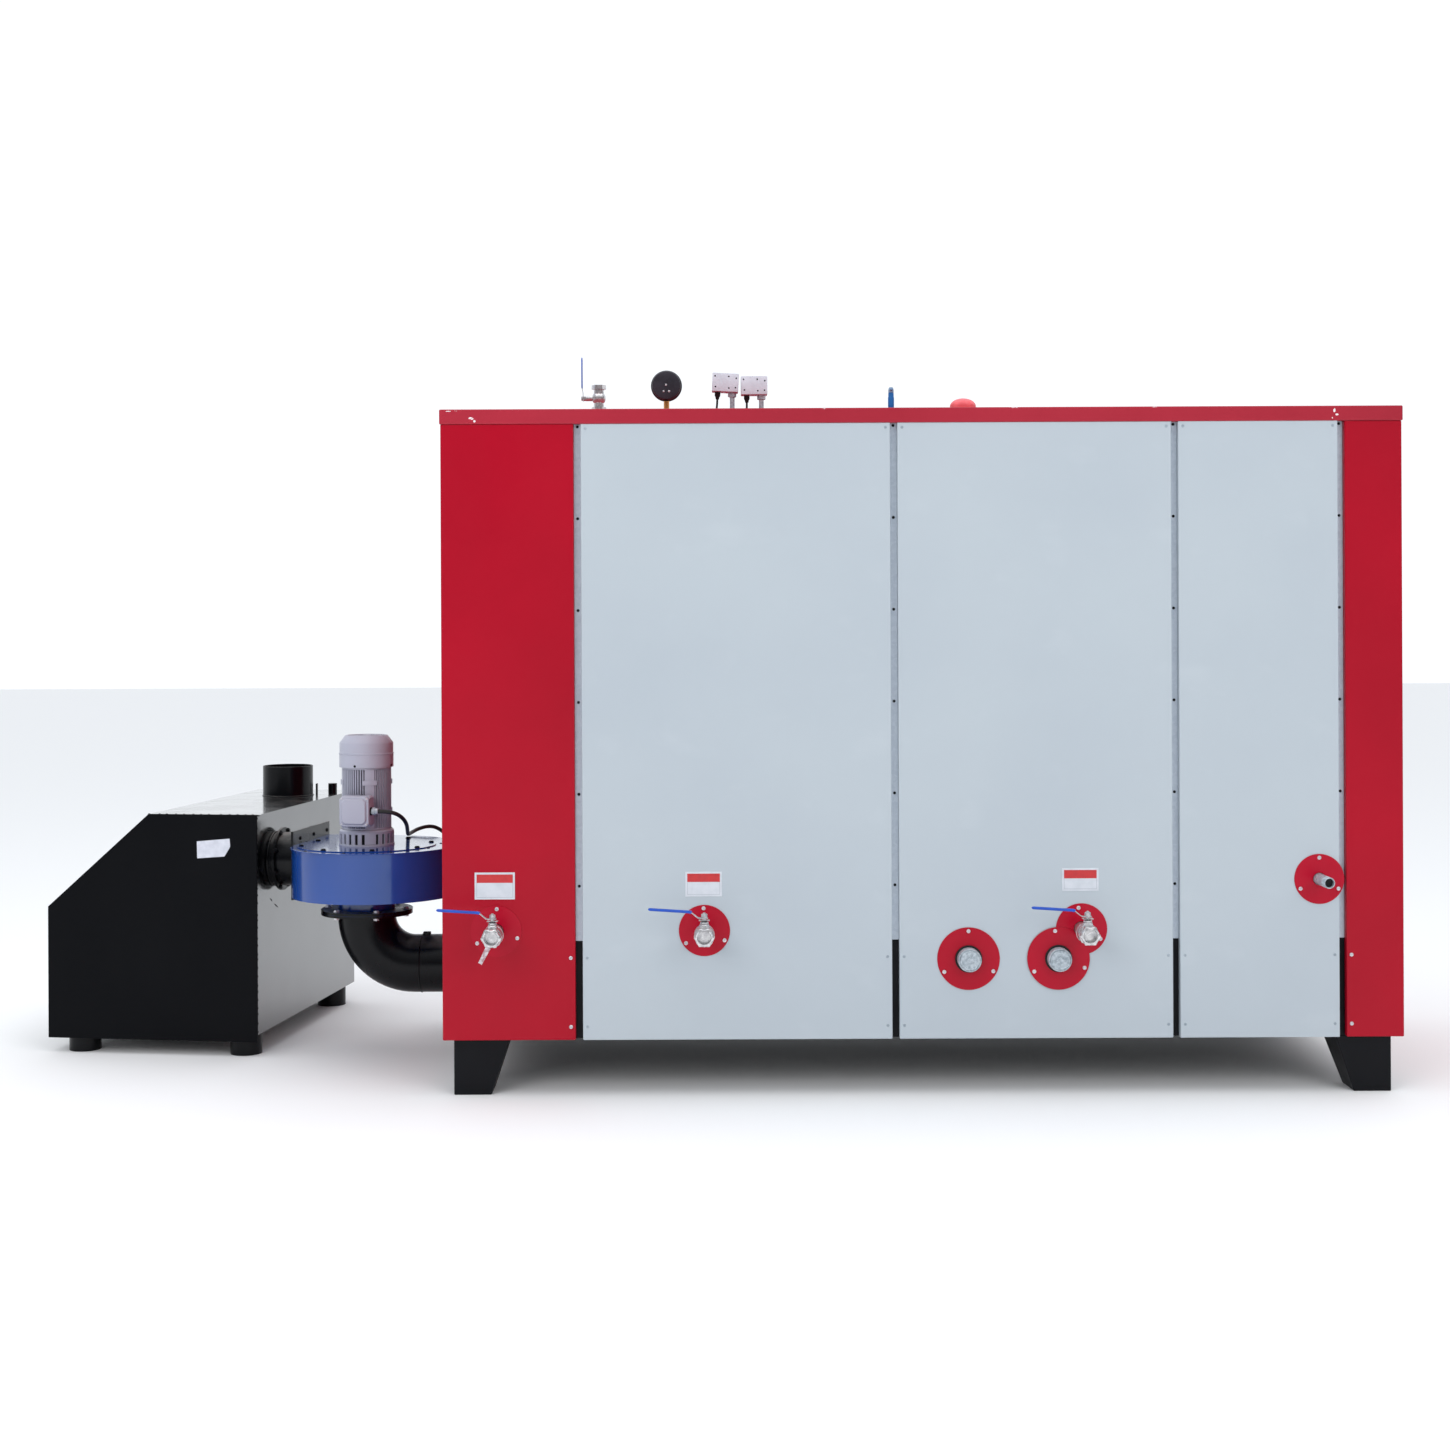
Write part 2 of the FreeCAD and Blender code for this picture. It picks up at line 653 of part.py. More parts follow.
def blower():
    """Inlet neck and flange, casing, top plate and the disc that carries the motor."""
    inlet = rod(("0", "0", INLET_Z), "inlet_flange_rad", "flange_thick")
    neck = rod(("0", "0", f"{INLET_Z} + flange_thick"), "elbow_rad", "inlet_neck")
    turned_node("blower_casing", joined(inlet, neck, scroll("casing_bottom",
                                        "casing_top - top_thick - casing_bottom", "0")))
    turned_node("blower_top_plate", scroll("casing_top - top_thick", "top_thick", "top_lip"))
    turned_node("motor_disc", rod(("0", "0", "casing_top"), "disc_rad", "disc_thick"))
    rim = "outlet_flange_rim"
    off = "casing_step / 2"
    turned_node("outlet_flange",
                block((f"-outlet_side - flange_thick", f"-{off} - {rim}",
                       "casing_bottom - outlet_flange_low"), "flange_thick",
                      f"casing_rad + 3 * casing_step + 2 * {rim}",
                      "casing_top - casing_bottom + outlet_flange_low + outlet_flange_high"))


BASE_Z = "casing_top + disc_thick"
MOTOR_Z = f"{BASE_Z} + motor_base_len"
COWL_Z = f"{MOTOR_Z} + motor_len"
TERMINAL_Z = f"{BASE_Z} + terminal_z"
GLAND_Y = "-motor_rad - 2 - terminal_depth / 2"
GLAND_Z = f"{TERMINAL_Z} + terminal_wid / 2"


def motor():
    """A flanged base, the finned body, the fan cowl and the terminal box in front."""
    turned_node("motor_base", rod(("0", "0", BASE_Z), "motor_base_rad", "motor_base_len"))
    body = rod(("0", "0", MOTOR_Z), "motor_rad", "motor_len")
    seat = block(("-terminal_wid / 3", "-motor_rad - 2", f"{TERMINAL_Z} + 10"),
                 "terminal_wid * 2 / 3", "motor_rad", "terminal_wid - 20")
    turned_node("motor_body", joined(body, seat))
    rim = rod(("0", "0", COWL_Z), "cowl_rad", "cowl_len")
    crown = cone(("0", "0", f"{COWL_Z} + cowl_len"), "cowl_rad", "cowl_crown_rad",
                 "cowl_crown")
    turned_node("motor_cowl", joined(rim, crown))
    box = block(("-terminal_wid / 2", "-motor_rad - 2 - terminal_depth", TERMINAL_Z),
                "terminal_wid", "terminal_depth", "terminal_wid")
    gland = hexagon(("terminal_wid / 2", GLAND_Y, GLAND_Z), "2 * gland_rad", "gland_len",
                    TO_RIGHT)
    turned_node("terminal_box", joined(box, gland))


# ----------------------------------------------------------- flue pipe and flue box

BOX_RIGHT = "-box_side"
PIPE_LEN = "box_side - outlet_side - flange_thick"


def flue_pipe():
    """The round pipe from the outlet flange to the box, with its bolted ring."""
    pipe = rod(("-outlet_side - flange_thick", "flue_pipe_back", "flue_pipe_z"),
               "flue_pipe_rad", PIPE_LEN, TO_LEFT)
    ring = rod((f"{BOX_RIGHT} + flue_ring_gap + flange_thick", "flue_pipe_back",
                "flue_pipe_z"), "flue_ring_rad", "flange_thick", TO_LEFT)
    turned_node("flue_pipe", joined(pipe, ring))


def box_outline(bottom, top):
    """The box from the front: a flat top, a sloped left shoulder, square below."""
    return [("0", bottom), ("box_len", bottom), ("box_len", top),
            ("box_len - box_flat", top), ("0", "box_shoulder")]


def flue_box():
    """Body with the chimney's well, front plate, lid, chimney, feet and a small stub."""
    left = "-box_side - box_len"
    deck = "box_top - lid_thick"
    chimney = f"{BOX_RIGHT} - chimney_side"
    back = "box_front + chimney_back"
    body = plate(box_outline("box_bottom", deck), "box_depth - front_plate_thick",
                 (left, "box_front + box_depth", "0"))
    well = rod((chimney, back, f"{deck} - chimney_well"), "chimney_rad - chimney_wall",
               "2 * chimney_well")
    turned_node("flue_box_body", without(body, well))
    turned_node("flue_box_front",
                plate(box_outline("front_plate_low", "box_top"), "front_plate_thick",
                      (left, "box_front + front_plate_thick", "0")))
    lid = block((f"{BOX_RIGHT} - box_flat", "box_front + front_plate_thick", deck),
                "box_flat + lid_lip", "box_depth - front_plate_thick", "lid_thick")
    turned_node("flue_box_lid", without(lid, rod((chimney, back, "box_top / 2"),
                                                 "chimney_rad - chimney_wall", "box_top")))
    tube = rod((chimney, back, "box_top"), "chimney_rad", "chimney_height")
    flue = rod((chimney, back, "box_top / 2"), "chimney_rad - chimney_wall", "box_top")
    turned_node("chimney_stub", without(tube, flue))
    feet = [rod((across, along, "0"), "foot_rad", "box_bottom")
            for across in (f"{BOX_RIGHT} - foot_right", f"{left} + foot_left")
            for along in ("box_front + foot_end", "box_front + box_depth - foot_end")]
    turned_node("flue_box_feet", *feet)
    turned_node("flue_box_stub", rod((f"{BOX_RIGHT} - stub_side", "box_front + stub_back",
                                      "box_top"), "stub_rad", "stub_height"))


# ------------------------------------------------------------------ cables and leads

def tube(label, points, radius):
    """A round tube along straight runs joined by tangent arcs, as large as they fit."""
    runs = [after - before for before, after in zip(points, points[1:])]
    edges = []
    radii = []
    start = points[0]
    for corner, run, following in zip(points[1:], runs, runs[1:]):
        turn = run.getAngle(following)
        reach = 0.45 * min(run.Length, following.Length)
        radii.append(reach / math.tan(turn / 2))
        inward = corner - Vector(run).normalize() * reach
        outward = corner + Vector(following).normalize() * reach
        bisector = (Vector(following).normalize() - Vector(run).normalize()).normalize()
        depth = radii[-1] / math.cos(turn / 2) - radii[-1]
        edges.append(Part.LineSegment(start, inward).toShape())
        edges.append(Part.Arc(inward, corner + bisector * depth, outward).toShape())
        start = outward
    edges.append(Part.LineSegment(start, points[-1]).toShape())
    path = Part.Wire(edges)
    section = Part.Wire(Part.makeCircle(radius, points[0], runs[0]))
    shape = path.makePipeShell([section], True, False)
    expected = math.pi * radius ** 2 * path.Length
    print(f"{label}: {path.Length:.0f} mm long, volume {shape.Volume / expected:.4f} of"
          f" section times length, radii {[round(each) for each in radii]}")
    feature = document.addObject("Part::Feature", "Tube")
    feature.Shape = shape
    return feature


def from_blower(across, along, up):
    """A place in the blower's turned frame, as seen from the cabinet's middle."""
    yaw = math.radians(value("flue_yaw"))
    x = -value("cabinet_len / 2 + blower_gap")
    x += across * math.cos(yaw) + along * math.sin(yaw)
    y = value("blower_back") - across * math.sin(yaw) + along * math.cos(yaw)
    return Vector(x, y, up)


ENTRY_LEN = 14


def motor_cable():
    """The motor's cable: over the casing to its back edge, up again and into the cabinet."""
    along = value("terminal_wid / 2 + gland_len")
    across = value(GLAND_Y)
    up = value(GLAND_Z)
    entry = Vector(value(LEFT) - ENTRY_LEN, 332, 640)
    route = [from_blower(*point) for point in (
        (along, across, up), (along + 34, across, up), (135, -94, 811), (144, -57, 790),
        (135, -1, 769), (113, 81, 746), (89, 164, 726), (67, 242, 712), (56, 311, 709),
        (66, 373, 719), (99, 418, 725), (132, 441, 706), (158, 444, 672))]
    route += [entry - Vector(44, 0, 0), entry]
    node("motor_cable", tube("motor_cable", route, value("cable_rad")))
    node("cable_entry", rod((f"{LEFT} - {ENTRY_LEN}", entry.y, entry.z), "2 * cable_rad",
                            ENTRY_LEN, TO_RIGHT))


def control_leads():
    """A short lead from each pressure control's gland down into the roof."""
    leads = []
    for x, height, tilt in CONTROLS.values():
        lean = math.radians(tilt)
        drop = value("control_gland_len")
        aside = value("-control_pipe_off")
        start = Vector(value(x) + aside * math.cos(lean) - drop * math.sin(lean), 0,
                       value(f"{TOP} + {height}") - aside * math.sin(lean)
                       - drop * math.cos(lean))
        fall = start.z - value(TOP)
        end = start + Vector(-9, 8, -fall)
        leads.append(tube("control_lead", [
            start, start - Vector(math.sin(lean), 0, math.cos(lean)) * 0.3 * fall,
            end + Vector(0, 0, 0.32 * fall), end], value("lead_rad")))
    node("control_leads", *leads)


# ---------------------------------------------------------------------- the assembly

CONTROLS = {
    "first": ("control_first_x", "control_first_z", SIZES["control_tilt"]),
    "second": ("control_second_x", "control_second_z", 0),
}

core()
roof()
side_panels()
end_panels()
channel_strips()
legs()
collars()
for valve, (valve_x, panel_name) in VALVES.items():
    blowdown_valve(valve, valve_x)
    valve_lever(valve, valve_x)
washout_sockets()
feed_pipe()
vent_valve()
vent_lever()
pressure_gauge()
for control, settings in CONTROLS.items():
    pressure_control(control, *settings)
safety_valve()
steam_outlet()
flue_elbow()
blower()
motor()
flue_pipe()
flue_box()
motor_cable()
control_leads()

document.recompute()

for item in document.Objects:
    if "Invalid" in item.State or "Error" in item.State:
        raise RuntimeError(f"{item.Name} ({item.Label}) failed: {item.State}")
for label, group in nodes.items():
    if group.Shape.isNull() or not group.Shape.isValid() or not group.Shape.Solids:
        raise RuntimeError(f"{label} has no valid solid")

os.makedirs("parts", exist_ok=True)
for label, group in nodes.items():
    group.Shape.exportStep(f"parts/{label}.step")
box = Part.makeCompound([group.Shape for group in nodes.values()]).BoundBox
print(f"{len(nodes)} sub-parts, box {box.XMin:.1f} {box.XMax:.1f} {box.YMin:.1f}"
      f" {box.YMax:.1f} {box.ZMin:.1f} {box.ZMax:.1f}")
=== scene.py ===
import json
import math
import random

import bmesh
import bpy
from mathutils import Matrix, Vector


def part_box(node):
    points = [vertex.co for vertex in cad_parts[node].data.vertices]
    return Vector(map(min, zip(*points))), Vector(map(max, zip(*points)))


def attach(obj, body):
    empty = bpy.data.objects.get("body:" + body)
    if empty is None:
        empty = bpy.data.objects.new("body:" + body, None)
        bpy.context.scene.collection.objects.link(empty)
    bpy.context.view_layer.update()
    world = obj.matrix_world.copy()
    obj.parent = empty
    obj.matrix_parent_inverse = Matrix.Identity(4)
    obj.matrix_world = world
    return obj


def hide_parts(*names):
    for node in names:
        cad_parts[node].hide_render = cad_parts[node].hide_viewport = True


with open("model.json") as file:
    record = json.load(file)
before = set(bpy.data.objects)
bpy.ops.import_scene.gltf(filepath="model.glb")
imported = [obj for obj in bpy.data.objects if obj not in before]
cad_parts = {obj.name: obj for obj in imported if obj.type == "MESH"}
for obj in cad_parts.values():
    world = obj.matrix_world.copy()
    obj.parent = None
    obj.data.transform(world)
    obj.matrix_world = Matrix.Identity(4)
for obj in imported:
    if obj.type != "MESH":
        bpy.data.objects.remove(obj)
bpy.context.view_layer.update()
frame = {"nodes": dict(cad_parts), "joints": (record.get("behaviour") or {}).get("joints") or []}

# ------------------------------------------------------------------------------ camera
# A standing person's eye, 6.1 m in front of the cabinet and a little left of its middle,
# looking square at its side. The lens shift keeps the uprights upright.
roof_low, roof_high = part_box("roof_cap")
panel_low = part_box("front_panel_grey_left")[0]
cabinet_middle = (roof_low + roof_high) / 2
cabinet_front = panel_low.y
eye_side, eye_distance, eye_height = -0.6335, 6.1, 1.416

lens = bpy.data.cameras.new("camera")
lens.sensor_width = 36
lens.lens = 50.4
lens.shift_x = 0.0097
lens.shift_y = -0.069
camera = bpy.data.objects.new("camera", lens)
camera.location = (cabinet_middle.x + eye_side, cabinet_front - eye_distance, eye_height)
camera.rotation_euler = (math.radians(90), math.radians(0.25), 0)
bpy.context.collection.objects.link(camera)
bpy.context.scene.camera = camera


# ----------------------------------------------------------------------- motor's cable
# The motor's rubber-sheathed cable: out of the gland, over the blower casing to its back
# edge, up in a low arch, down behind the casing and into the cabinet's end.
def colour(hex_code):
    """An sRGB hex colour as linear red, green, blue and alpha."""
    parts = [int(hex_code[i:i + 2], 16) / 255 for i in (1, 3, 5)]
    return [c / 12.92 if c <= 0.04045 else ((c + 0.055) / 1.055) ** 2.4 for c in parts] + [1]


def add(tree, kind, settings=None, links=None):
    """Adds a node. Settings are its attributes, or its sockets' values by name or number."""
    node = tree.nodes.new(kind)
    for key, setting in (settings or {}).items():
        if isinstance(key, str) and hasattr(node, key):
            setattr(node, key, setting)
        else:
            node.inputs[key].default_value = setting
    for key, source in (links or {}).items():
        tree.links.new(source, node.inputs[key])
    return node


def finish(name, **settings):
    """A new material: its tree, its shader and the piece's own coordinates."""
    material = bpy.data.materials.new(name)
    material.use_nodes = True
    tree = material.node_tree
    tree.nodes.clear()
    shader = add(tree, "ShaderNodeBsdfPrincipled", settings)
    add(tree, "ShaderNodeOutputMaterial", links={"Surface": shader.outputs["BSDF"]})
    place = add(tree, "ShaderNodeTexCoord").outputs["Object"]
    return material, tree, shader, place


# Extruded rubber: nearly black, with a dull sheen and fine rings from the extruder.
rubber, tree, shader, place = finish("extruded_rubber", Roughness=0.55)
dust = add(tree, "ShaderNodeTexNoise", {"Scale": 60, "Detail": 4}, {"Vector": place})
sheath = add(tree, "ShaderNodeMix", {"data_type": "RGBA", "blend_type": "MIX"},
             {0: dust.outputs["Fac"]})
sheath.inputs[6].default_value = colour("#121213")
sheath.inputs[7].default_value = colour("#2c2b2b")
tree.links.new(sheath.outputs[2], shader.inputs["Base Color"])
grain = add(tree, "ShaderNodeBump", {"Strength": 0.15, "Distance": 0.0004},
            {"Height": dust.outputs["Fac"]})
tree.links.new(grain.outputs["Normal"], shader.inputs["Normal"])

blower_turn = math.radians(8)
casing_low, casing_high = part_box("motor_disc")
blower_axis = (casing_low + casing_high) / 2


def blower_point(across, along, up):
    """A place in millimetres from the blower's axis, in its turned frame, and up from the floor."""
    return Vector((blower_axis.x + (across * math.cos(blower_turn)
                                    + along * math.sin(blower_turn)) / 1000,
                   blower_axis.y + (along * math.cos(blower_turn)
                                    - across * math.sin(blower_turn)) / 1000,
                   up / 1000))


entry_low, entry_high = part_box("cable_entry")
entry_middle = (entry_low + entry_high) / 2
cable_end = Vector((entry_low.x, entry_middle.y, entry_middle.z))
route = [blower_point(*place_mm) for place_mm in (
    (74, -112, 822), (108, -112, 822), (135, -94, 811), (144, -57, 790), (135, -1, 769),
    (113, 81, 746), (89, 164, 726), (67, 242, 712), (56, 311, 709), (66, 373, 719),
    (99, 418, 725), (132, 441, 706), (158, 444, 672))]
route += [cable_end - Vector((0.044, 0, 0)), cable_end]


def spline_curve(name, points, radius, material):
    """A smooth round cord that follows its route's points."""
    curve = bpy.data.curves.new(name, "CURVE")
    curve.dimensions = "3D"
    curve.bevel_depth = radius
    curve.bevel_resolution = 5
    curve.resolution_u = 12
    curve.use_fill_caps = True
    spline = curve.splines.new("NURBS")
    spline.points.add(len(points) - 1)
    for target, point in zip(spline.points, points):
        target.co = (*point, 1)
    spline.order_u = 3
    spline.use_endpoint_u = True
    curve.materials.append(material)
    cord = bpy.data.objects.new(name, curve)
    bpy.context.collection.objects.link(cord)
    return cord


cable = spline_curve("motor_cable_sheath", route, 0.0065, rubber)
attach(cable, "plant")
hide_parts("motor_cable")
frame["nodes"]["cable_entry"].data.materials[0] = rubber

# ----------------------------------------------------------------------- red sheet metal
# Corner panels, end panels and roof cap: 1.5 mm steel folded into trays and sprayed with
# red gloss enamel. The roof cap's front fold is faded by the sun and chipped in places.
def blend_colours(tree, factor, first, second):
    """Goes from the first hex colour to the second one with the factor."""
    mixed = add(tree, "ShaderNodeMix", {"data_type": "RGBA", 6: colour(first),
                                        7: colour(second)}, {0: factor})
    return mixed.outputs[2]


def between(tree, number, low, high):
    """A number from 0 to 1, as it goes from low to high."""
    return add(tree, "ShaderNodeMapRange", {"From Min": low, "From Max": high},
               {"Value": number}).outputs["Result"]


def clouds(tree, place, per_metre, detail=4, stretch=(1, 1, 1)):
    """Soft noise with so many patches to the metre, stretched along the axes."""
    spread = add(tree, "ShaderNodeMapping", {"Scale": stretch}, {"Vector": place})
    noise = add(tree, "ShaderNodeTexNoise", {"Scale": per_metre, "Detail": detail},
                {"Vector": spread.outputs["Vector"]})
    return noise.outputs["Fac"]


def relief(tree, shader, height, depth, strength=0.3):
    """Raises the surface by so many metres where the height is 1."""
    bump = add(tree, "ShaderNodeBump", {"Strength": strength, "Distance": depth},
               {"Height": height})
    tree.links.new(bump.outputs["Normal"], shader.inputs["Normal"])


def enamel(name, main, cloudy, roughness, coat=0.0, peel=0.12):
    """Sprayed gloss enamel: cloudy in colour, with a fine orange peel of about 3 mm and
    a film of dust in upright smears that dulls it."""
    material, tree, shader, place = finish(name, IOR=1.32)
    shader.inputs["Coat Weight"].default_value = coat
    shader.inputs["Coat Roughness"].default_value = 0.12
    patches = between(tree, clouds(tree, place, 1.6, 5), 0.35, 0.7)
    paint = blend_colours(tree, patches, main, cloudy)
    tree.links.new(paint, shader.inputs["Base Color"])
    smears = between(tree, clouds(tree, place, 3.0, 6, (1, 1, 0.4)), 0.3, 0.75)
    gloss = add(tree, "ShaderNodeMapRange", {"To Min": roughness, "To Max": roughness + 0.12},
                {"Value": smears})
    tree.links.new(gloss.outputs["Result"], shader.inputs["Roughness"])
    relief(tree, shader, clouds(tree, place, 330, 2), 0.0004, peel)
    return material, tree, shader, place


red_enamel, tree, shader, place = enamel("red_gloss_enamel", "#a80120", "#9c011d", 0.3)
faded_enamel, tree, shader, place = enamel("sun_faded_red_enamel", "#a8293a", "#9b2232", 0.36)

# Chips in the roof's front fold: place along it, place up it, half width and half height,
# in millimetres from its lower left corner. The primer in them is nearly white.
chips = [(28, 39, 11, 2.2), (52, 40, 8, 1.6), (96, 17, 12, 6), (107, 9, 5, 5),
         (2690, 31, 5, 9), (2697, 18, 7, 4), (2684, 8, 3, 3), (1160, 42, 14, 1.2),
         (1730, 43, 22, 1.0), (2150, 43, 12, 1.0)]
ragged = clouds(tree, place, 170, 6)
bare = None
for along, up, half_wide, half_high in chips:
    middle = Vector((roof_low.x + along / 1000, roof_low.y, roof_low.z + up / 1000))
    stretched = Vector((1000 / half_wide, 12, 1000 / half_high))
    local = add(tree, "ShaderNodeMapping", {
        "Location": -middle * stretched, "Scale": stretched}, {"Vector": place})
    away = add(tree, "ShaderNodeVectorMath", {"operation": "LENGTH"},
               {0: local.outputs["Vector"]}).outputs["Value"]
    inside = between(tree, away, 1.15, 0.6)
    if bare is None:
        bare = inside
    else:
        bare = add(tree, "ShaderNodeMath", {"operation": "MAXIMUM"},
                   {0: bare, 1: inside}).outputs[0]
torn = add(tree, "ShaderNodeMath", {"operation": "MULTIPLY"}, {0: bare, 1: ragged}).outputs[0]
chipped = between(tree, torn, 0.42, 0.47)
primer = add(tree, "ShaderNodeMix", {"data_type": "RGBA", 7: colour("#e6dcdf")},
             {0: chipped, 6: shader.inputs["Base Color"].links[0].from_socket})
tree.links.new(primer.outputs[2], shader.inputs["Base Color"])


def keep(name, mesh, materials, body="plant", stands_for=()):
    """Turns built mesh data into a finished piece that rides on its body."""
    data = bpy.data.meshes.new(name)
    mesh.to_mesh(data)
    mesh.free()
    for material in materials:
        data.materials.append(material)
    piece = bpy.data.objects.new(name, data)
    bpy.context.collection.objects.link(piece)
    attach(piece, body)
    if stands_for:
        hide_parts(*stands_for)
    return piece


def merged(node):
    """A CAD node's shape as one clean mesh, with flat faces whole again."""
    mesh = bmesh.new()
    mesh.from_mesh(frame["nodes"][node].data)
    bmesh.ops.remove_doubles(mesh, verts=mesh.verts, dist=0.00002)
    bmesh.ops.dissolve_limit(mesh, angle_limit=math.radians(0.5), verts=mesh.verts,
                             edges=mesh.edges)
    return mesh


def round_edges(mesh, width, steps=3, sharper=50, limit=None):
    """Rounds the edges that are sharper than the angle, as a fold or a weld is."""
    edges = [edge for edge in mesh.edges if len(edge.link_faces) == 2
             and edge.calc_face_angle() > math.radians(sharper)
             and (limit is None or limit(edge))]
    bmesh.ops.bevel(mesh, geom=edges, offset=width, segments=steps, profile=0.5,
                    affect="EDGES", clamp_overlap=True)
    return mesh


FOLD = 0.0035
for node in ("front_panel_left_corner", "front_panel_right_corner", "end_panel_left",
             "end_panel_right", "back_panels_corner"):
    keep(f"{node}_sheet", round_edges(merged(node), FOLD), [red_enamel],
         stands_for=(node,))
keep("roof_cap_sheet", round_edges(merged("roof_cap"), FOLD), [faded_enamel],
     stands_for=("roof_cap",))

# ---------------------------------------------------------------------- grey sheet metal
# The panels between the corners: the same folded trays in a pale blue-grey enamel, a
# little dulled by handling, with faint smears and scuffs.
grey_enamel, tree, shader, place = enamel("pale_grey_enamel", "#b3bcc3", "#afb8c0", 0.34)
scuffs = between(tree, clouds(tree, place, 5, 9, (1, 1, 1.6)), 0.6, 1.3)
marked = add(tree, "ShaderNodeMix", {"data_type": "RGBA", 7: colour("#bfc7cd")},
             {0: scuffs, 6: shader.inputs["Base Color"].links[0].from_socket})
tree.links.new(marked.outputs[2], shader.inputs["Base Color"])

for node in ("front_panel_grey_left", "front_panel_grey_middle", "front_panel_grey_right",
             "back_panels_grey"):
    keep(f"{node}_sheet", round_edges(merged(node), FOLD), [grey_enamel],
         stands_for=(node,))

# --------------------------------------------------------------- strips, base and legs
# Between the panels shows zinc-coated channel. The furnace's base below it and the four
# tapered legs are welded plate in a satin black paint.
zinc_sheet, tree, shader, place = finish("hot_dipped_zinc_sheet", Metallic=0.25,
                                         Roughness=0.42)
spangle = add(tree, "ShaderNodeTexVoronoi", {"Scale": 110}, {"Vector": place})
tree.links.new(blend_colours(tree, between(tree, spangle.outputs["Color"], 0.2, 0.8),
                             "#bcc6d2", "#c6cfda"), shader.inputs["Base Color"])

satin_black, tree, shader, place = finish("satin_black_paint", IOR=1.3)
tree.links.new(blend_colours(tree, between(tree, clouds(tree, place, 7, 6), 0.4, 0.75),
                             "#06070c", "#0b0d13"), shader.inputs["Base Color"])
tree.links.new(add(tree, "ShaderNodeMapRange", {"To Min": 0.34, "To Max": 0.6},
                   {"Value": clouds(tree, place, 14, 5)}).outputs["Result"],
               shader.inputs["Roughness"])
relief(tree, shader, clouds(tree, place, 260, 3), 0.0005, 0.25)

for node in ("boiler_body", "channel_strips"):
    frame["nodes"][node].data.materials[0] = zinc_sheet
keep("furnace_base_plate", round_edges(merged("furnace_base"), 0.004), [satin_black],
     stands_for=("furnace_base",))
for node in ("front_legs", "back_legs"):
    keep(f"{node}_welded", round_edges(merged(node), 0.003), [satin_black],
         stands_for=(node,))

# ------------------------------------------------------------------------ panel screws
# Zinc-plated pan-head screws hold the trays to the frame. On the red panels they are bare
# and bright, on the grey ones painted over, and in the channels a row of satin-black heads
# is painted shade, standing for the dark holes there.
def turned(mesh, rings, sides=32, at=Matrix(), material=0, shut=True):
    """Adds a turned shape, from rings of radius and height. A third number in a ring makes
    it a polygon with so many flats. The shape is capped at both ends, or its last ring goes
    back to its first."""
    loops = []
    for radius, height, *flats in rings:
        loop = []
        for step in range(sides):
            angle = math.tau * step / sides
            out = radius
            if flats:
                sector = math.tau / flats[0]
                out /= math.cos(angle % sector - sector / 2)
            loop.append(mesh.verts.new(at @ Vector((out * math.cos(angle),
                                                    out * math.sin(angle), height))))
        loops.append(loop)
    pairs = list(zip(loops, loops[1:])) + ([] if shut else [(loops[-1], loops[0])])
    made = []
    for below, above in pairs:
        for step in range(sides):
            after = (step + 1) % sides
            made.append(mesh.faces.new((below[step], below[after], above[after],
                                        above[step])))
    if shut:
        made.append(mesh.faces.new(loops[0][::-1]))
        made.append(mesh.faces.new(loops[-1]))
    for face in made:
        face.material_index = material
    return made


def smooth_over(piece, angle=34):
    """Shades a piece smoothly, with its edges above the angle kept sharp."""
    for face in piece.data.polygons:
        face.use_smooth = True
    piece.data.set_sharp_from_angle(angle=math.radians(angle))
    return piece


def plated(name, bright, dull, roughness, metallic=1.0, scale=60):
    """Plated or bare metal: two tones in patches, and finger marks in its gloss."""
    material, tree, shader, place = finish(name, Metallic=metallic)
    patches = between(tree, clouds(tree, place, scale, 4), 0.35, 0.7)
    tree.links.new(blend_colours(tree, patches, bright, dull), shader.inputs["Base Color"])
    marks = add(tree, "ShaderNodeMapRange", {"To Min": roughness, "To Max": roughness + 0.2},
                {"Value": clouds(tree, place, scale * 2.3, 3)})
    tree.links.new(marks.outputs["Result"], shader.inputs["Roughness"])
    relief(tree, shader, clouds(tree, place, scale * 6, 2), 0.0003, 0.15)
    return material


zinc_plate = plated("zinc_plated_steel", "#e9e6ea", "#c3c2c8", 0.3, 0.6, 90)
painted_screw = enamel("painted_over_screw", "#a9b3bc", "#8d98a2", 0.4)[0]


def screw_head():
    """A pan head one unit high and one unit in radius, with a cross recess."""
    mesh = bmesh.new()
    cross = (0.9, 0.42, 0.3, 0.42)
    dome = ((1, 0), (1, 0.25), (0.9, 0.65), (0.68, 0.92))
    turned(mesh, dome, 16)
    bmesh.ops.delete(mesh, geom=[max(mesh.faces, key=lambda f: f.calc_center_median().z)],
                     context="FACES_ONLY")
    rim = sorted((v for v in mesh.verts if v.co.z > 0.9),
                 key=lambda v: math.atan2(v.co.y, v.co.x) % math.tau)
    inner = [[mesh.verts.new((radius * cross[step % 4] * math.cos(math.tau * step / 16),
                              radius * cross[step % 4] * math.sin(math.tau * step / 16),
                              height)) for step in range(16)]
             for radius, height in ((0.6, 1), (0.5, 0.35))]
    for below, above in ((rim, inner[0]), (inner[0], inner[1])):
        for step in range(16):
            after = (step + 1) % 16
            mesh.faces.new((below[step], below[after], above[after], above[step]))
    mesh.faces.new(inner[1])
    return mesh


def hexagon_head():
    """A hexagon bolt head with its washer, one unit high and one unit in radius."""
    mesh = bmesh.new()
    turned(mesh, ((1.25, 0), (1.25, 0.2), (0.9, 0.22)), 20)
    turned(mesh, ((1, 0.2), (1, 0.85), (0.84, 1)), 6)
    return mesh


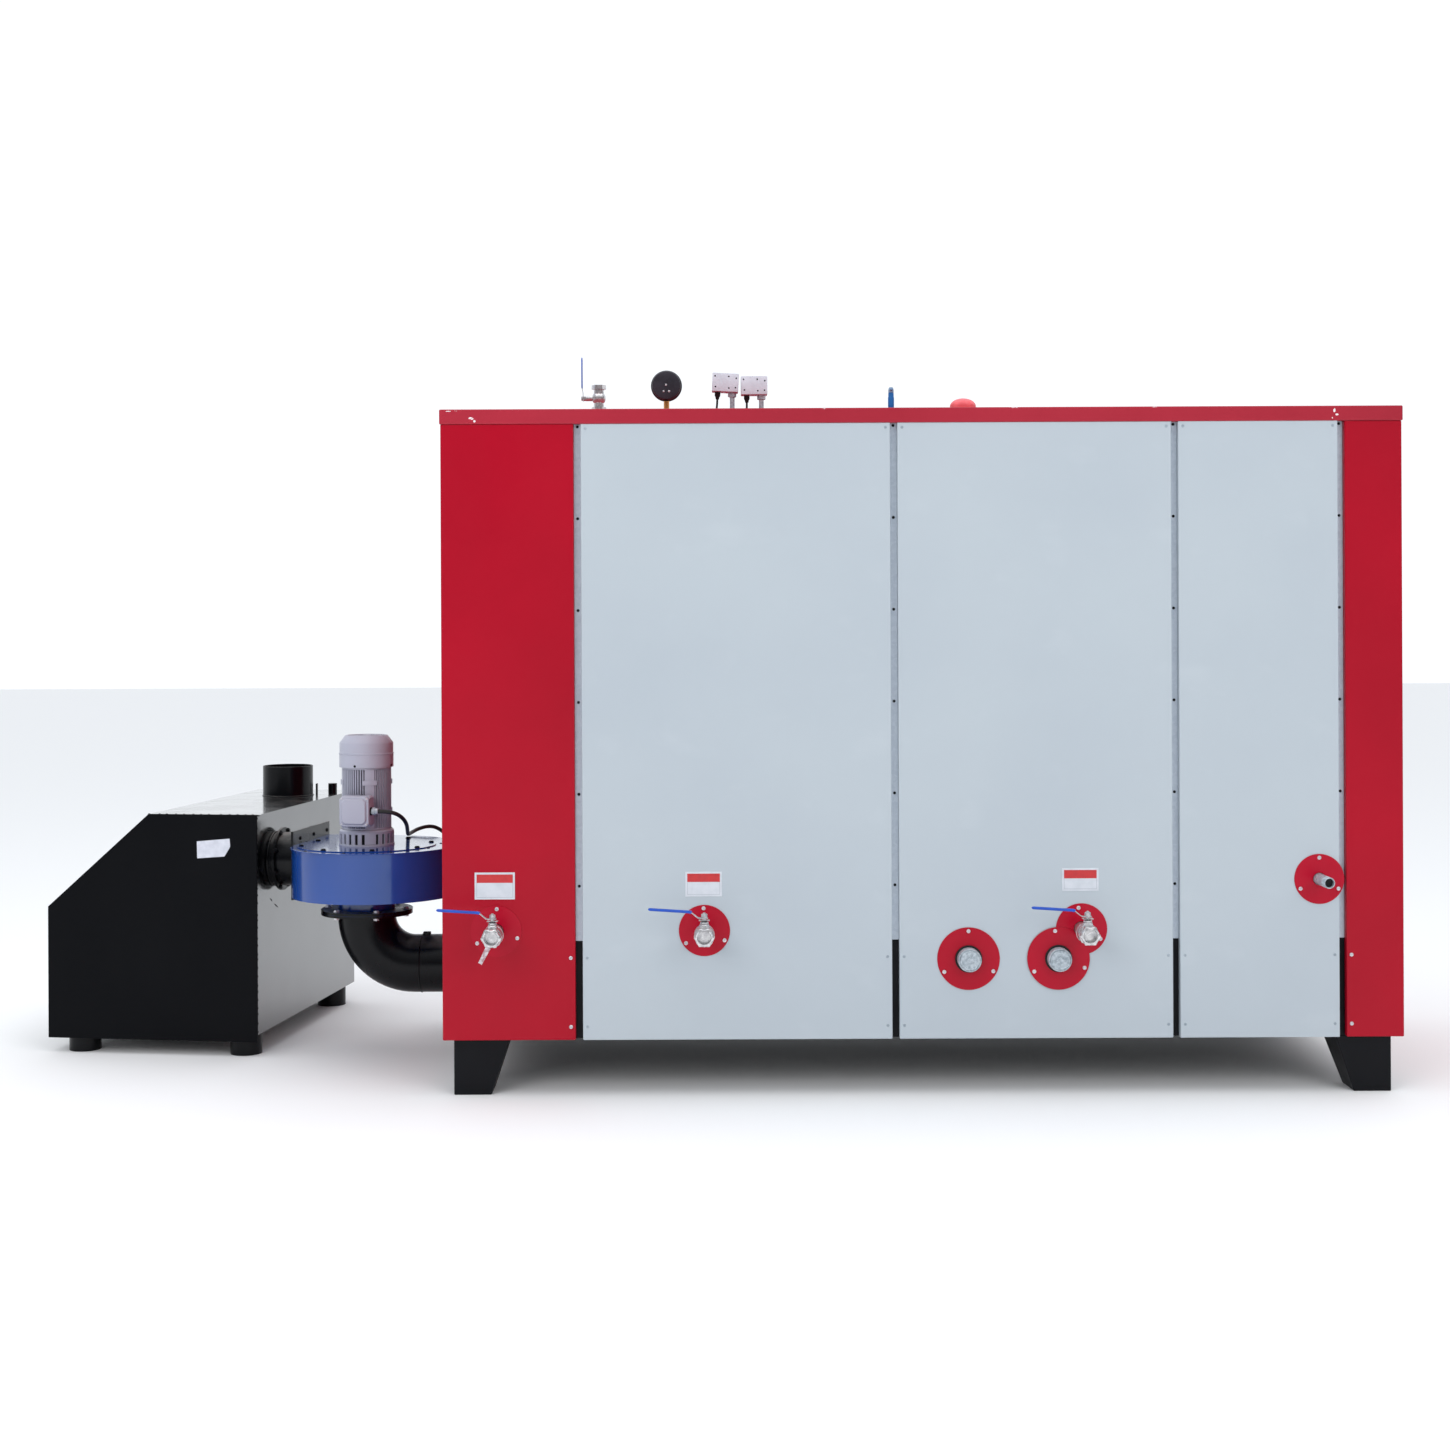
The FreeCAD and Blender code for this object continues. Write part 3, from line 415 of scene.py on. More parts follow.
def head_tree(name, head, material):
    """Puts a head at each point, facing as the point says and turned at random."""
    shape = bpy.data.meshes.new(name + "_shape")
    head.to_mesh(shape)
    head.free()
    pattern = bpy.data.objects.new(name + "_shape", shape)
    tree = bpy.data.node_groups.new(name, "GeometryNodeTree")
    for label, kind in (("Geometry", "Geometry"), ("Head radius", "Float"),
                        ("Head height", "Float")):
        tree.interface.new_socket(label, in_out="INPUT", socket_type="NodeSocket" + kind)
    tree.interface.new_socket("Geometry", in_out="OUTPUT", socket_type="NodeSocketGeometry")
    given = add(tree, "NodeGroupInput").outputs
    facing = add(tree, "GeometryNodeInputNamedAttribute",
                 {"data_type": "FLOAT_VECTOR", "Name": "facing"}).outputs[0]
    upright = add(tree, "FunctionNodeAlignRotationToVector", {"axis": "Z"},
                  {"Vector": facing}).outputs[0]
    chance = add(tree, "FunctionNodeRandomValue", {"data_type": "FLOAT", 3: math.tau,
                                                   "Seed": 5}).outputs[1]
    spin = add(tree, "FunctionNodeAxisAngleToRotation", {"Axis": (0, 0, 1)},
               {"Angle": chance}).outputs[0]
    turn = add(tree, "FunctionNodeRotateRotation", {"rotation_space": "LOCAL"},
               {"Rotation": upright, "Rotate By": spin}).outputs[0]
    size = add(tree, "ShaderNodeCombineXYZ", None,
               {0: given["Head radius"], 1: given["Head radius"], 2: given["Head height"]})
    heads = add(tree, "GeometryNodeInstanceOnPoints", None, {
        "Points": given["Geometry"], "Rotation": turn, "Scale": size.outputs[0],
        "Instance": add(tree, "GeometryNodeObjectInfo",
                        {"Object": pattern}).outputs["Geometry"]})
    real = add(tree, "GeometryNodeRealizeInstances", None,
               {"Geometry": heads.outputs["Instances"]})
    done = add(tree, "GeometryNodeSetMaterial", {"Material": material},
               {"Geometry": real.outputs["Geometry"]})
    add(tree, "NodeGroupOutput", None, {"Geometry": done.outputs["Geometry"]})
    return tree


def heads(name, tree, places, radius, height, slot="galvanised"):
    """Fastener heads as one piece. Each place is a point and the way that it faces."""
    points = bpy.data.meshes.new(name)
    points.from_pydata([place for place, way in places], [], [])
    facing = points.attributes.new("facing", "FLOAT_VECTOR", "POINT")
    facing.data.foreach_set("vector", [part for place, way in places for part in way])
    piece = bpy.data.objects.new(name, points)
    bpy.context.collection.objects.link(piece)
    modifier = piece.modifiers.new("heads", "NODES")
    modifier.node_group = tree
    sockets = {item.name: item.identifier for item in tree.interface.items_tree
               if item.in_out == "INPUT"}
    modifier[sockets["Head radius"]] = radius
    modifier[sockets["Head height"]] = height
    shown = piece.evaluated_get(bpy.context.evaluated_depsgraph_get())
    plain = bpy.data.meshes.new_from_object(shown)
    piece.modifiers.clear()
    piece.data = plain
    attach(piece, "plant")
    return piece


bright_screw = head_tree("bright_screw_head", screw_head(), zinc_plate)
dull_screw = head_tree("painted_screw_head", screw_head(), painted_screw)
bolt = head_tree("hexagon_bolt_head", hexagon_head(), zinc_plate)
FORWARD, BACKWARD = Vector((0, -1, 0)), Vector((0, 1, 0))
SCREW_INSET = 0.014
rows_up = (0.040, 0.247)

left_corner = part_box("front_panel_left_corner")
right_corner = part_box("front_panel_right_corner")
red_places = [(Vector((side, left_corner[0].y, left_corner[0].z + up)), FORWARD)
              for side in (left_corner[1].x - SCREW_INSET, right_corner[0].x + SCREW_INSET)
              for up in rows_up]
back_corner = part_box("back_panels_corner")
red_places += [(Vector((place.x, back_corner[1].y, place.z)), BACKWARD)
               for place, way in red_places]
heads("red_panel_screws", bright_screw, red_places, 0.006, 0.0035)

grey_places, channel_places = [], []
for node in ("left", "middle", "right"):
    low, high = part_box(f"front_panel_grey_{node}")
    for side in (low.x + SCREW_INSET, high.x - SCREW_INSET):
        for up in rows_up + (1.838,):
            grey_places.append((Vector((side, low.y, low.z + up)), FORWARD))
            grey_places.append((Vector((side, back_corner[1].y, low.z + up)), BACKWARD))
strip_low, strip_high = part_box("channel_strips")
slots = [(left_corner[1].x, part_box("front_panel_grey_left")[0].x)]
slots.append((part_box("front_panel_grey_left")[1].x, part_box("front_panel_grey_middle")[0].x))
slots.append((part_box("front_panel_grey_middle")[1].x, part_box("front_panel_grey_right")[0].x))
slots.append((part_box("front_panel_grey_right")[1].x, right_corner[0].x))
for low_side, high_side in slots:
    for step in range(6):
        up = strip_low.z + 0.165 + 0.277 * step
        middle = (low_side + high_side) / 2
        channel_places.append((Vector((middle, strip_low.y, up)), FORWARD))
        channel_places.append((Vector((middle, strip_high.y, up)), BACKWARD))
heads("grey_panel_screws", dull_screw, grey_places, 0.0045, 0.0015)
# The channel screws' satin-black heads are painted shade, standing for the dark holes in the
# channels.
dark_hole = head_tree("channel_screw_head", screw_head(), satin_black)
heads("channel_screws", dark_hole, channel_places, 0.0045, 0.002)

# ------------------------------------------------------------------- collars and labels
# Round cover plates in the same red close the holes round the pipes, each with three
# screws near its rim. Above each blowdown valve is a blank plate with a red header.
collar_enamel = enamel("collar_red_enamel", "#b00327", "#a20220", 0.26)[0]
for node in ("valve_collars", "socket_collars", "feed_collar"):
    frame["nodes"][node].data.materials[0] = collar_enamel

valves = {name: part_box(f"blowdown_valve_{name}") for name in ("left", "middle", "right")}
hinges = {joint["child"]: Vector(joint["pos_m"]) for joint in frame["joints"]}
VALVE_UP = 0.498
valve_at = {name: Vector((hinges[f"lever_{name}"].x, cabinet_front, VALVE_UP))
            for name in valves}
socket_low, socket_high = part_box("washout_sockets")
SOCKET_RADIUS = (socket_high.z - socket_low.z) / 2
socket_up = (socket_high.z + socket_low.z) / 2
socket_at = [Vector((socket_low.x + SOCKET_RADIUS, cabinet_front, socket_up)),
             Vector((socket_high.x - SOCKET_RADIUS, cabinet_front, socket_up))]
feed_low, feed_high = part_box("feed_pipe")
feed_at = Vector(((feed_low.x + feed_high.x) / 2, cabinet_front,
                  (feed_low.z + feed_high.z) / 2))

collar_places = []
for middle, radius, out, angles in (
        (valve_at["left"], 0.067, 0.002, (88, 212, -18)),
        (valve_at["middle"], 0.067, 0.002, (92, 214, -26)),
        (valve_at["right"], 0.064, 0.002, (98, -28)),
        (socket_at[0], 0.083, 0.004, (90, 208, -27)),
        (socket_at[1], 0.083, 0.004, (97, 208, -20)),
        (feed_at, 0.064, 0.002, (90, 207, -27))):
    for angle in angles:
        collar_places.append((middle + Vector((
            radius * math.cos(math.radians(angle)), -out,
            radius * math.sin(math.radians(angle)))), FORWARD))
heads("collar_screws", bright_screw, collar_places, 0.0062, 0.0035)

# Printed sheet: white with a faint dust, a red header and a fine border line.
label_white, tree, shader, place = finish("printed_plastic_white", Roughness=0.4)
tree.links.new(blend_colours(tree, between(tree, clouds(tree, place, 40, 5), 0.4, 0.8),
                             "#ccd0d8", "#bec4cc"), shader.inputs["Base Color"])
label_red, tree, shader, place = finish("printed_plastic_red", Roughness=0.4)
tree.links.new(blend_colours(tree, between(tree, clouds(tree, place, 60, 5), 0.35, 0.75),
                             "#c22f31", "#b02b30"), shader.inputs["Base Color"])
label_line, tree, shader, place = finish("printed_plastic_grey", Roughness=0.45)
tree.links.new(blend_colours(tree, clouds(tree, place, 60, 3), "#a9afb8", "#98a0aa"),
               shader.inputs["Base Color"])


def slab(mesh, low, high, material=0, rounded=0.0):
    """Adds a box between two corners, its edges rounded if asked."""
    size = high - low
    made = bmesh.ops.create_cube(mesh, size=1, matrix=Matrix.Translation((low + high) / 2)
                                 @ Matrix.Diagonal((*size, 1)))["verts"]
    faces = {face for vert in made for face in vert.link_faces}
    for face in faces:
        face.material_index = material
    if rounded:
        edges = list({edge for vert in made for edge in vert.link_edges})
        bmesh.ops.bevel(mesh, geom=edges, offset=rounded, segments=2, profile=0.5,
                        affect="EDGES", clamp_overlap=True)


for name, left, right, bottom, top in (("left", -64, 57, 96, 177), ("middle", -57, 53, 102, 177),
                                       ("right", -58, 52, 114, 183)):
    mesh = bmesh.new()
    origin = valve_at[name]

    def spot(across, out, up):
        return origin + Vector((across, -out, up)) / 1000

    slab(mesh, spot(left, 1.2, bottom), spot(right, 0, top), rounded=0.0005)
    slab(mesh, spot(left + 6, 1.5, top - 31), spot(right - 6, 1.1, top - 6), 1)
    for low_side, high_side, low_up, high_up in (
            (left + 6, right - 6, bottom + 6, bottom + 7), (left + 6, left + 7, bottom + 6,
                                                            top - 31),
            (right - 7, right - 6, bottom + 6, top - 31)):
        slab(mesh, spot(low_side, 1.45, low_up), spot(high_side, 1.1, high_up), 2)
    keep(f"blowdown_label_{name}", mesh, [label_white, label_red, label_line])

# ---------------------------------------------------------------------- blowdown valves
# Two-piece brass ball valves, nickel-plated, screwed on pipes that come through the
# panels. Each has a hexagon at both ends, a bonnet with its packing nut and a flat stem.
nickel = plated("nickel_plated_brass", "#e3e2e2", "#b9b8bb", 0.2, 0.85, 70)
steel_strap = plated("pressed_zinc_steel", "#d9d8da", "#a9a8ac", 0.3, 0.8, 110)
seal_rubber, tree, shader, place = finish("black_seal_rubber", Roughness=0.7)
tree.links.new(blend_colours(tree, clouds(tree, place, 120, 4), "#0b0b0d", "#1c1b1d"),
               shader.inputs["Base Color"])
# The ball seen down each outlet is chrome coloured a dull blue-grey: painted shade.
ball_painted_shade = plated("ball_in_painted_shade", "#a9c0cc", "#7f98a6", 0.35, 0.15, 90)


def outwards(origin):
    """Millimetres with the axis straight out of the front panel at a point."""
    return Matrix.Translation(origin) @ Matrix.Rotation(math.pi / 2, 4, "X") \
        @ Matrix.Scale(0.001, 4)


def upwards(origin):
    """Millimetres with the axis straight up from a point."""
    return Matrix.Translation(origin) @ Matrix.Scale(0.001, 4)


def ball_valve(mesh, out, up, reach=150, bore=19.5):
    """The valve's body along its pipe, and its bonnet and stem across it."""
    turned(mesh, [(21, -20), (21, 50), (20, 52)], 32, out)
    for ridge in range(4):
        turned(mesh, [(21, 33 + 4 * ridge), (21.8, 34 + 4 * ridge),
                      (21.8, 35 + 4 * ridge), (21, 36 + 4 * ridge)], 32, out)
    turned(mesh, [(23, 50), (25.5, 52, 6), (25.5, 66, 6), (23, 68)], 48, out)
    turned(mesh, [(22, 66), (24, 73), (28, 79), (30, 88), (30.5, 100), (30, 112),
                  (27, 121), (23, 128)], 40, out)
    turned(mesh, [(28, 76), (30.5, 78), (30.5, 83), (28, 85)], 40, out)
    turned(mesh, [(25, 113), (28.6, 115, 8), (28.6, 124, 8), (25, 126)], 48, out)
    turned(mesh, [(24, reach - 22), (26.6, reach - 20, 6), (26.6, reach - 3, 6),
                  (25, reach), (bore + 1.2, reach), (bore, reach - 1.5),
                  (bore, reach - 32)], 48, out, shut=False)
    # The ball deep in the bore takes the blue-grey of painted shade.
    turned(mesh, [(bore, reach - 36), (bore, reach - 30), (16, reach - 26.5),
                  (9, reach - 24.5), (2, reach - 24)], 32, out, 1)
    turned(mesh, [(15, 20), (15, 31), (13.5, 32.5), (13.5, 34)], 32, up)
    turned(mesh, [(10, 34), (11, 35, 6), (11, 40, 6), (10, 41)], 24, up)
    turned(mesh, [(9.6, 41), (9.6, 44.5)], 24, up, 2)
    turned(mesh, [(5, 40), (5, 50)], 24, up)


for name, origin in valve_at.items():
    mesh = bmesh.new()
    stem = Vector((origin.x, hinges[f"lever_{name}"].y, origin.z))
    ball_valve(mesh, outwards(origin), upwards(stem))
    for side in (-1, 1):
        slab(mesh, stem + Vector((-0.016, side * 0.008 - 0.003, 0.0445)),
             stem + Vector((0.016, side * 0.008 + 0.003, 0.0465)), 0, 0.0006)
    smooth_over(keep(f"blowdown_valve_{name}_body", mesh, [nickel, ball_painted_shade, seal_rubber],
                     stands_for=(f"blowdown_valve_{name}",)))

# Sealing tape left over from fitting hangs from the left valve's outlet.
tape, tree, shader, place = finish("crumpled_foil_tape", Metallic=0.35, Roughness=0.4)
tree.links.new(blend_colours(tree, between(tree, clouds(tree, place, 90, 5), 0.4, 0.65),
                             "#d9d2d6", "#b08a90"), shader.inputs["Base Color"])
relief(tree, shader, clouds(tree, place, 260, 4), 0.002, 0.6)
mesh = bmesh.new()
tape_top = Vector((valve_at["left"].x - 0.008, cabinet_front - 0.146, VALVE_UP - 0.026))
ROWS, COLUMNS, TAPE_WIDE = 22, 6, 0.014
for side_out in (0, 0.0004):
    for row in range(ROWS + 1):
        along = row / ROWS
        crease = 0.0016 * math.sin(9 * along + 2) + 0.0008 * math.sin(31 * along)
        for column in range(COLUMNS + 1):
            across = column / COLUMNS - 0.5
            mesh.verts.new(tape_top + Vector((
                -0.024 * along + TAPE_WIDE * (1 - 0.25 * along) * across,
                side_out + crease + 0.0022 * math.sin(6 * across + 8 * along),
                -0.047 * along - 0.006 * across)))
mesh.verts.ensure_lookup_table()
SHEET = (ROWS + 1) * (COLUMNS + 1)


def tape_vert(side, row, column):
    return mesh.verts[side * SHEET + row * (COLUMNS + 1) + column]


for row in range(ROWS):
    for column in range(COLUMNS):
        corners = [(row, column), (row + 1, column), (row + 1, column + 1), (row, column + 1)]
        mesh.faces.new([tape_vert(0, *corner) for corner in corners])
        mesh.faces.new([tape_vert(1, *corner) for corner in corners[::-1]])
rim = [(0, c) for c in range(COLUMNS)] + [(r, COLUMNS) for r in range(ROWS)] \
    + [(ROWS, c) for c in range(COLUMNS, 0, -1)] + [(r, 0) for r in range(ROWS, 0, -1)]
for first, second in zip(rim, rim[1:] + rim[:1]):
    mesh.faces.new([tape_vert(0, *first), tape_vert(0, *second), tape_vert(1, *second),
                    tape_vert(1, *first)])
bmesh.ops.recalc_face_normals(mesh, faces=mesh.faces)
smooth_over(keep("outlet_tape_left", mesh, [tape]), 60)

# ----------------------------------------------------------------------- valve levers
# A pressed steel strap, cranked up from the stem and held by a nut, in a dipped blue
# vinyl sleeve. The lever turns about the stem, from along the panel to straight out.
vinyl, tree, shader, place = finish("blue_vinyl_sleeve", Roughness=0.34, IOR=1.5)
tree.links.new(blend_colours(tree, between(tree, clouds(tree, place, 45, 4), 0.35, 0.7),
                             "#1550bd", "#1c46a8"), shader.inputs["Base Color"])
relief(tree, shader, clouds(tree, place, 500, 3), 0.0003, 0.2)


def swept(mesh, path, sections, at, material=0):
    """Adds a closed bar along a path in a plane. Each section is half its thickness, half
    its width and how round it is: 2 is an ellipse, more is nearer to a rectangle."""
    loops = []
    count = 20
    for index, (along, up) in enumerate(path):
        before, after = path[max(index - 1, 0)], path[min(index + 1, len(path) - 1)]
        slope = math.atan2(after[1] - before[1], after[0] - before[0])
        half_thick, half_wide, power = sections[index]
        loop = []
        for step in range(count):
            angle = math.tau * step / count
            bulge = (abs(math.cos(angle)) ** power + abs(math.sin(angle)) ** power) \
                ** (-1 / power)
            lift, wide = half_thick * bulge * math.cos(angle), half_wide * bulge \
                * math.sin(angle)
            loop.append(mesh.verts.new(at @ Vector((along - lift * math.sin(slope), wide,
                                                    up + lift * math.cos(slope)))))
        loops.append(loop)
    made = [mesh.faces.new(loops[0]), mesh.faces.new(loops[-1][::-1])]
    for first, second in zip(loops, loops[1:]):
        for step in range(count):
            after = (step + 1) % count
            made.append(mesh.faces.new((first[step], second[step], second[after],
                                        first[after])))
    for face in made:
        face.material_index = material


STRAP_PATH = [(11, 0), (0, 0), (-13, 0), (-18, 0.8), (-22, 3.4), (-35, 14.4), (-39, 17.0),
              (-45, 18.4), (-150, 25.5)]
SLEEVE_PATH = [(-37, 16.4), (-38.5, 17.2), (-44, 18.4), (-46, 18.7), (-100, 22.2), (-158, 26),
               (-162, 26.3), (-164.5, 26.5), (-166, 26.6)]
SLEEVE_HALVES = [(3.6, 5.6), (4.6, 6.6), (4.8, 6.8), (4.4, 6.4), (4.4, 6.4), (4.4, 6.4),
                 (4.0, 5.8), (2.8, 4.2), (0.8, 1.4)]
for name in valves:
    hinge = hinges[f"lever_{name}"]
    mesh = bmesh.new()
    flat = Matrix.Translation(hinge + Vector((0, 0, 0.0018))) @ Matrix.Scale(0.001, 4)
    swept(mesh, STRAP_PATH, [(1.5, 9, 7), (1.5, 12, 5)] + [(1.5, 9, 8)] * 3
          + [(1.5, 6.5, 8)] * 2 + [(1.5, 5.5, 8)] * 2, flat)
    turned(mesh, [(7.4, 1.2), (8, 2, 6), (8, 12, 6), (7.2, 13)], 24, flat)
    turned(mesh, [(10, 1.2), (10, 2.4)], 24, flat)
    turned(mesh, [(4, 12), (4, 15.5), (3.4, 16.2)], 20, flat)
    swept(mesh, SLEEVE_PATH, [(*half, 2.3) for half in SLEEVE_HALVES], flat, 1)
    bmesh.ops.recalc_face_normals(mesh, faces=mesh.faces)
    smooth_over(keep(f"blowdown_lever_{name}_handle", mesh, [steel_strap, vinyl],
                     f"lever_{name}", (f"valve_lever_{name}",)))

# ------------------------------------------------------------- washout sockets and feed
# Galvanised malleable iron sockets with square-head plugs, each with a black ring at its
# collar that is painted shade of the gap round it, and the feed pipe: threaded steel tube,
# zinc-coated, open at its end, with painted shade as a black disc inside its mouth.
malleable = plated("galvanised_malleable_iron", "#c6cfd6", "#8f9ba5", 0.42, 0.35, 120)
mesh = bmesh.new()
for origin in socket_at:
    out = outwards(origin)
    turned(mesh, [(34, -20), (34, 2), (35, 5), (35, 36), (34, 39), (32, 40), (30.6, 39),
                  (30, 36), (30, -20)], 48, out, shut=False)
    turned(mesh, [(30, 20), (30, 38), (29, 40.5), (27.5, 41), (24, 41), (22.5, 39.5),
                  (12, 39)], 48, out)
    turned(mesh, [(9.5, 38, 4), (9.5, 43, 4), (8.5, 44, 4)], 24, out)
    # The black ring round each socket where it meets its collar is painted shade of the gap in the
    # collar's hole.
    turned(mesh, [(34.5, 4), (40.5, 4), (41, 5.5), (40, 7.5), (36, 8.5), (34.5, 8)], 48, out,
           1, shut=False)
smooth_over(keep("washout_sockets_and_plugs", mesh, [malleable, seal_rubber],
                 stands_for=("washout_sockets", "washout_plugs")))

mesh = bmesh.new()
out = outwards(feed_at)
reach = (cabinet_front - feed_low.y) * 1000
pipe_radius = (feed_high.x - feed_low.x) * 500
profile = [(pipe_radius, -20), (pipe_radius, reach - 24)]
for thread in range(9):
    profile += [(pipe_radius - 0.9, reach - 23 + 2.3 * thread),
                (pipe_radius - 0.1, reach - 21.9 + 2.3 * thread)]
profile += [(pipe_radius - 1.2, reach), (pipe_radius - 3.3, reach), (pipe_radius - 3.6, -20)]
turned(mesh, profile, 40, out, shut=False)
# A black disc 14 to 30 mm in from the mouth is painted shade in the open bore.
turned(mesh, [(pipe_radius - 3.5, reach - 30), (pipe_radius - 3.5, reach - 14)], 40, out, 1)
smooth_over(keep("feed_pipe_threaded", mesh, [malleable, seal_rubber],
                 stands_for=("feed_pipe",)))

# ------------------------------------------------------------------------- roof fittings
# On the roof stand the vent valve, the pressure gauge with its dial towards the back, two
# pressure controls, a small blue safety valve and the steam outlet under its red cap.
roof_up = roof_high.z
frame["nodes"]["vent_valve"].data.materials[0] = nickel
vent_hinge = hinges["lever_vent"]
mesh = bmesh.new()
stand = Matrix.Translation(vent_hinge) @ Matrix.Scale(0.001, 4)
swept(mesh, [(-2, -9), (-2, 0), (-2, 17), (-3, 23), (-5, 31), (-5.5, 38), (-5.5, 118)],
      [(1.2, 8, 4)] * 3 + [(1.2, 6, 6)] * 4, stand)
swept(mesh, [(-5.2, 33), (-5.4, 36), (-5.5, 60), (-5.5, 128), (-5.5, 133), (-5.5, 135.6)],
      [(1.8, 6.4, 2.4), (2.5, 7.6, 2.4), (2.4, 7.4, 2.4), (2.4, 7.4, 2.4), (2, 6, 2.2),
       (0.7, 2, 2)], stand, 1)
turned(mesh, [(6, 2), (6.6, 2.6, 6), (6.6, 7, 6), (5.8, 8)], 24,
       Matrix.Translation(vent_hinge) @ Matrix.Rotation(-math.pi / 2, 4, "Y")
       @ Matrix.Scale(0.001, 4))
bmesh.ops.recalc_face_normals(mesh, faces=mesh.faces)
smooth_over(keep("vent_lever_handle", mesh, [steel_strap, vinyl], "lever_vent",
                 ("vent_lever",)))

# The gauge's case is pressed steel, stove-enamelled black, with its dial under glass.
case_black, tree, shader, place = finish("black_stove_enamel", Roughness=0.38, IOR=1.45)
tree.links.new(blend_colours(tree, between(tree, clouds(tree, place, 30, 5), 0.35, 0.75),
                             "#25242c", "#34323c"), shader.inputs["Base Color"])
relief(tree, shader, clouds(tree, place, 400, 3), 0.0003, 0.3)
dial_white, tree, shader, place = finish("printed_dial", Roughness=0.5)
tree.links.new(blend_colours(tree, clouds(tree, place, 50, 3), "#eceae4", "#e2e0da"),
               shader.inputs["Base Color"])
clear_glass, tree, shader, place = finish("flat_gauge_glass", IOR=1.45, Roughness=0.03)
shader.inputs["Transmission Weight"].default_value = 1.0
gauge_low, gauge_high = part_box("pressure_gauge")
gauge_middle = (gauge_low + gauge_high) / 2
gauge_radius = (gauge_high.x - gauge_low.x) * 500
to_back = Matrix.Translation(gauge_middle) @ Matrix.Rotation(-math.pi / 2, 4, "X") \
    @ Matrix.Scale(0.001, 4)
mesh = bmesh.new()
DIAL = gauge_radius - 5
made = turned(mesh, [(DIAL - 4, -17), (DIAL - 1, -16), (DIAL + 1, -13), (DIAL + 1, 4),
                     (gauge_radius - 0.6, 6), (gauge_radius, 8), (gauge_radius, 13),
                     (gauge_radius - 1, 15.5), (gauge_radius - 3, 17), (DIAL, 17),
                     (DIAL - 1, 15), (DIAL - 1, 9)], 64, to_back)
made[-1].material_index = 1
for tick in range(41):
    angle = math.radians(225 - tick * 6.75)
    long_tick = tick % 5 == 0
    turn = to_back @ Matrix.Rotation(angle, 4, "Z")
    wide = 0.55 if long_tick else 0.3
    inner = 32 if long_tick else 36
    corners = [turn @ Vector((x, y, 9.15)) for x, y in (
        (inner, -wide), (40, -wide), (40, wide), (inner, wide))]
    base = [turn @ Vector((x, y, 8.9)) for x, y in (
        (inner, -wide), (40, -wide), (40, wide), (inner, wide))]
    top_verts = [mesh.verts.new(corner) for corner in corners]
    low_verts = [mesh.verts.new(corner) for corner in base]
    mesh.faces.new(top_verts)
    mesh.faces.new(low_verts[::-1])
    for step in range(4):
        after = (step + 1) % 4
        mesh.faces.new((low_verts[step], low_verts[after], top_verts[after],
                        top_verts[step]))
needle = to_back @ Matrix.Rotation(math.radians(225), 4, "Z")
swept(mesh, [(-12, 11), (0, 11), (34, 11)], [(0.4, 2.4, 3), (0.4, 2, 3), (0.4, 0.5, 3)],
      needle)
turned(mesh, [(5, 9), (5, 11.6), (4, 12.2)], 24, to_back)
turned(mesh, [(DIAL - 1.1, 14), (DIAL - 1.1, 15)], 48, to_back, 2)
smooth_over(keep("pressure_gauge_case", mesh, [case_black, dial_white, clear_glass],
                 stands_for=("pressure_gauge",)))
heads("gauge_back_screws", bright_screw,
      [(Vector((gauge_middle.x + across / 1000, gauge_low.y, gauge_middle.z + up / 1000)),
        FORWARD) for across, up in ((-1, 1), (-9, -20), (9, -20))], 0.0036, 0.002)
brass = plated("turned_brass", "#d9a05e", "#b97f44", 0.28, 0.9, 80)
frame["nodes"]["gauge_stem"].data.materials[0] = brass

# The controls' housings are moulded in pale grey, in two halves with a seam.
grey_mould, tree, shader, place = finish("pale_grey_moulding", Roughness=0.45)
tree.links.new(blend_colours(tree, between(tree, clouds(tree, place, 25, 5), 0.35, 0.75),
                             "#d8dde8", "#c9ced9"), shader.inputs["Base Color"])
relief(tree, shader, clouds(tree, place, 600, 2), 0.0002, 0.25)
CONTROL_PIPE_OFF, CONTROL_PIPE_RADIUS = 24, 8
for name, middle_x, lift, tilt in (("first", 116.162, 116, 3), ("second", 212.162, 106, 0)):
    head_at = Matrix.Translation((middle_x / 1000, gauge_middle.y, roof_up + lift / 1000)) \
        @ Matrix.Rotation(math.radians(tilt), 4, "Y")
    mesh = bmesh.new()
    for low, high, material in (((-43.5, -30, 0), (43.5, -17.5, 61), 0),
                                ((-42, -18, 1.5), (42, -16, 59.5), 1),
                                ((-43.5, -16.5, 0), (43.5, 30, 61), 0)):
        slab(mesh, Vector(low) / 1000, Vector(high) / 1000, material, 0.0025 - 0.002 * material)
    mm = Matrix.Scale(0.001, 4)
    turned(mesh, [(11, -15), (12, -14, 6), (12, 0, 6)], 24,
           mm @ Matrix.Translation((CONTROL_PIPE_OFF, 0, 0)), 2)
    turned(mesh, [(5.5, -24), (6.5, -18), (9.5, -12), (9.5, 0)], 24,
           mm @ Matrix.Translation((-CONTROL_PIPE_OFF, 0, 0)), 1)
    for vert in mesh.verts:
        vert.co = head_at @ vert.co
    turned(mesh, [(CONTROL_PIPE_RADIUS, 0), (CONTROL_PIPE_RADIUS, lift - 4)], 24,
           Matrix.Translation((middle_x / 1000 + CONTROL_PIPE_OFF / 1000, gauge_middle.y,
                               roof_up)) @ mm, 2)
    smooth_over(keep(f"pressure_control_{name}_housing", mesh,
                     [grey_mould, seal_rubber, malleable],
                     stands_for=(f"pressure_control_{name}",)))
    heads(f"pressure_control_{name}_screws", dark_hole,
          [(head_at @ Vector((across / 1000, -0.030, up / 1000)), FORWARD)
           for across, up in ((-32, 15), (10, 50), (12, 12), (35, 45), (34, 14), (-35, 50))],
          0.0026, 0.0012, "galvanised")
frame["nodes"]["control_leads"].data.materials[0] = rubber

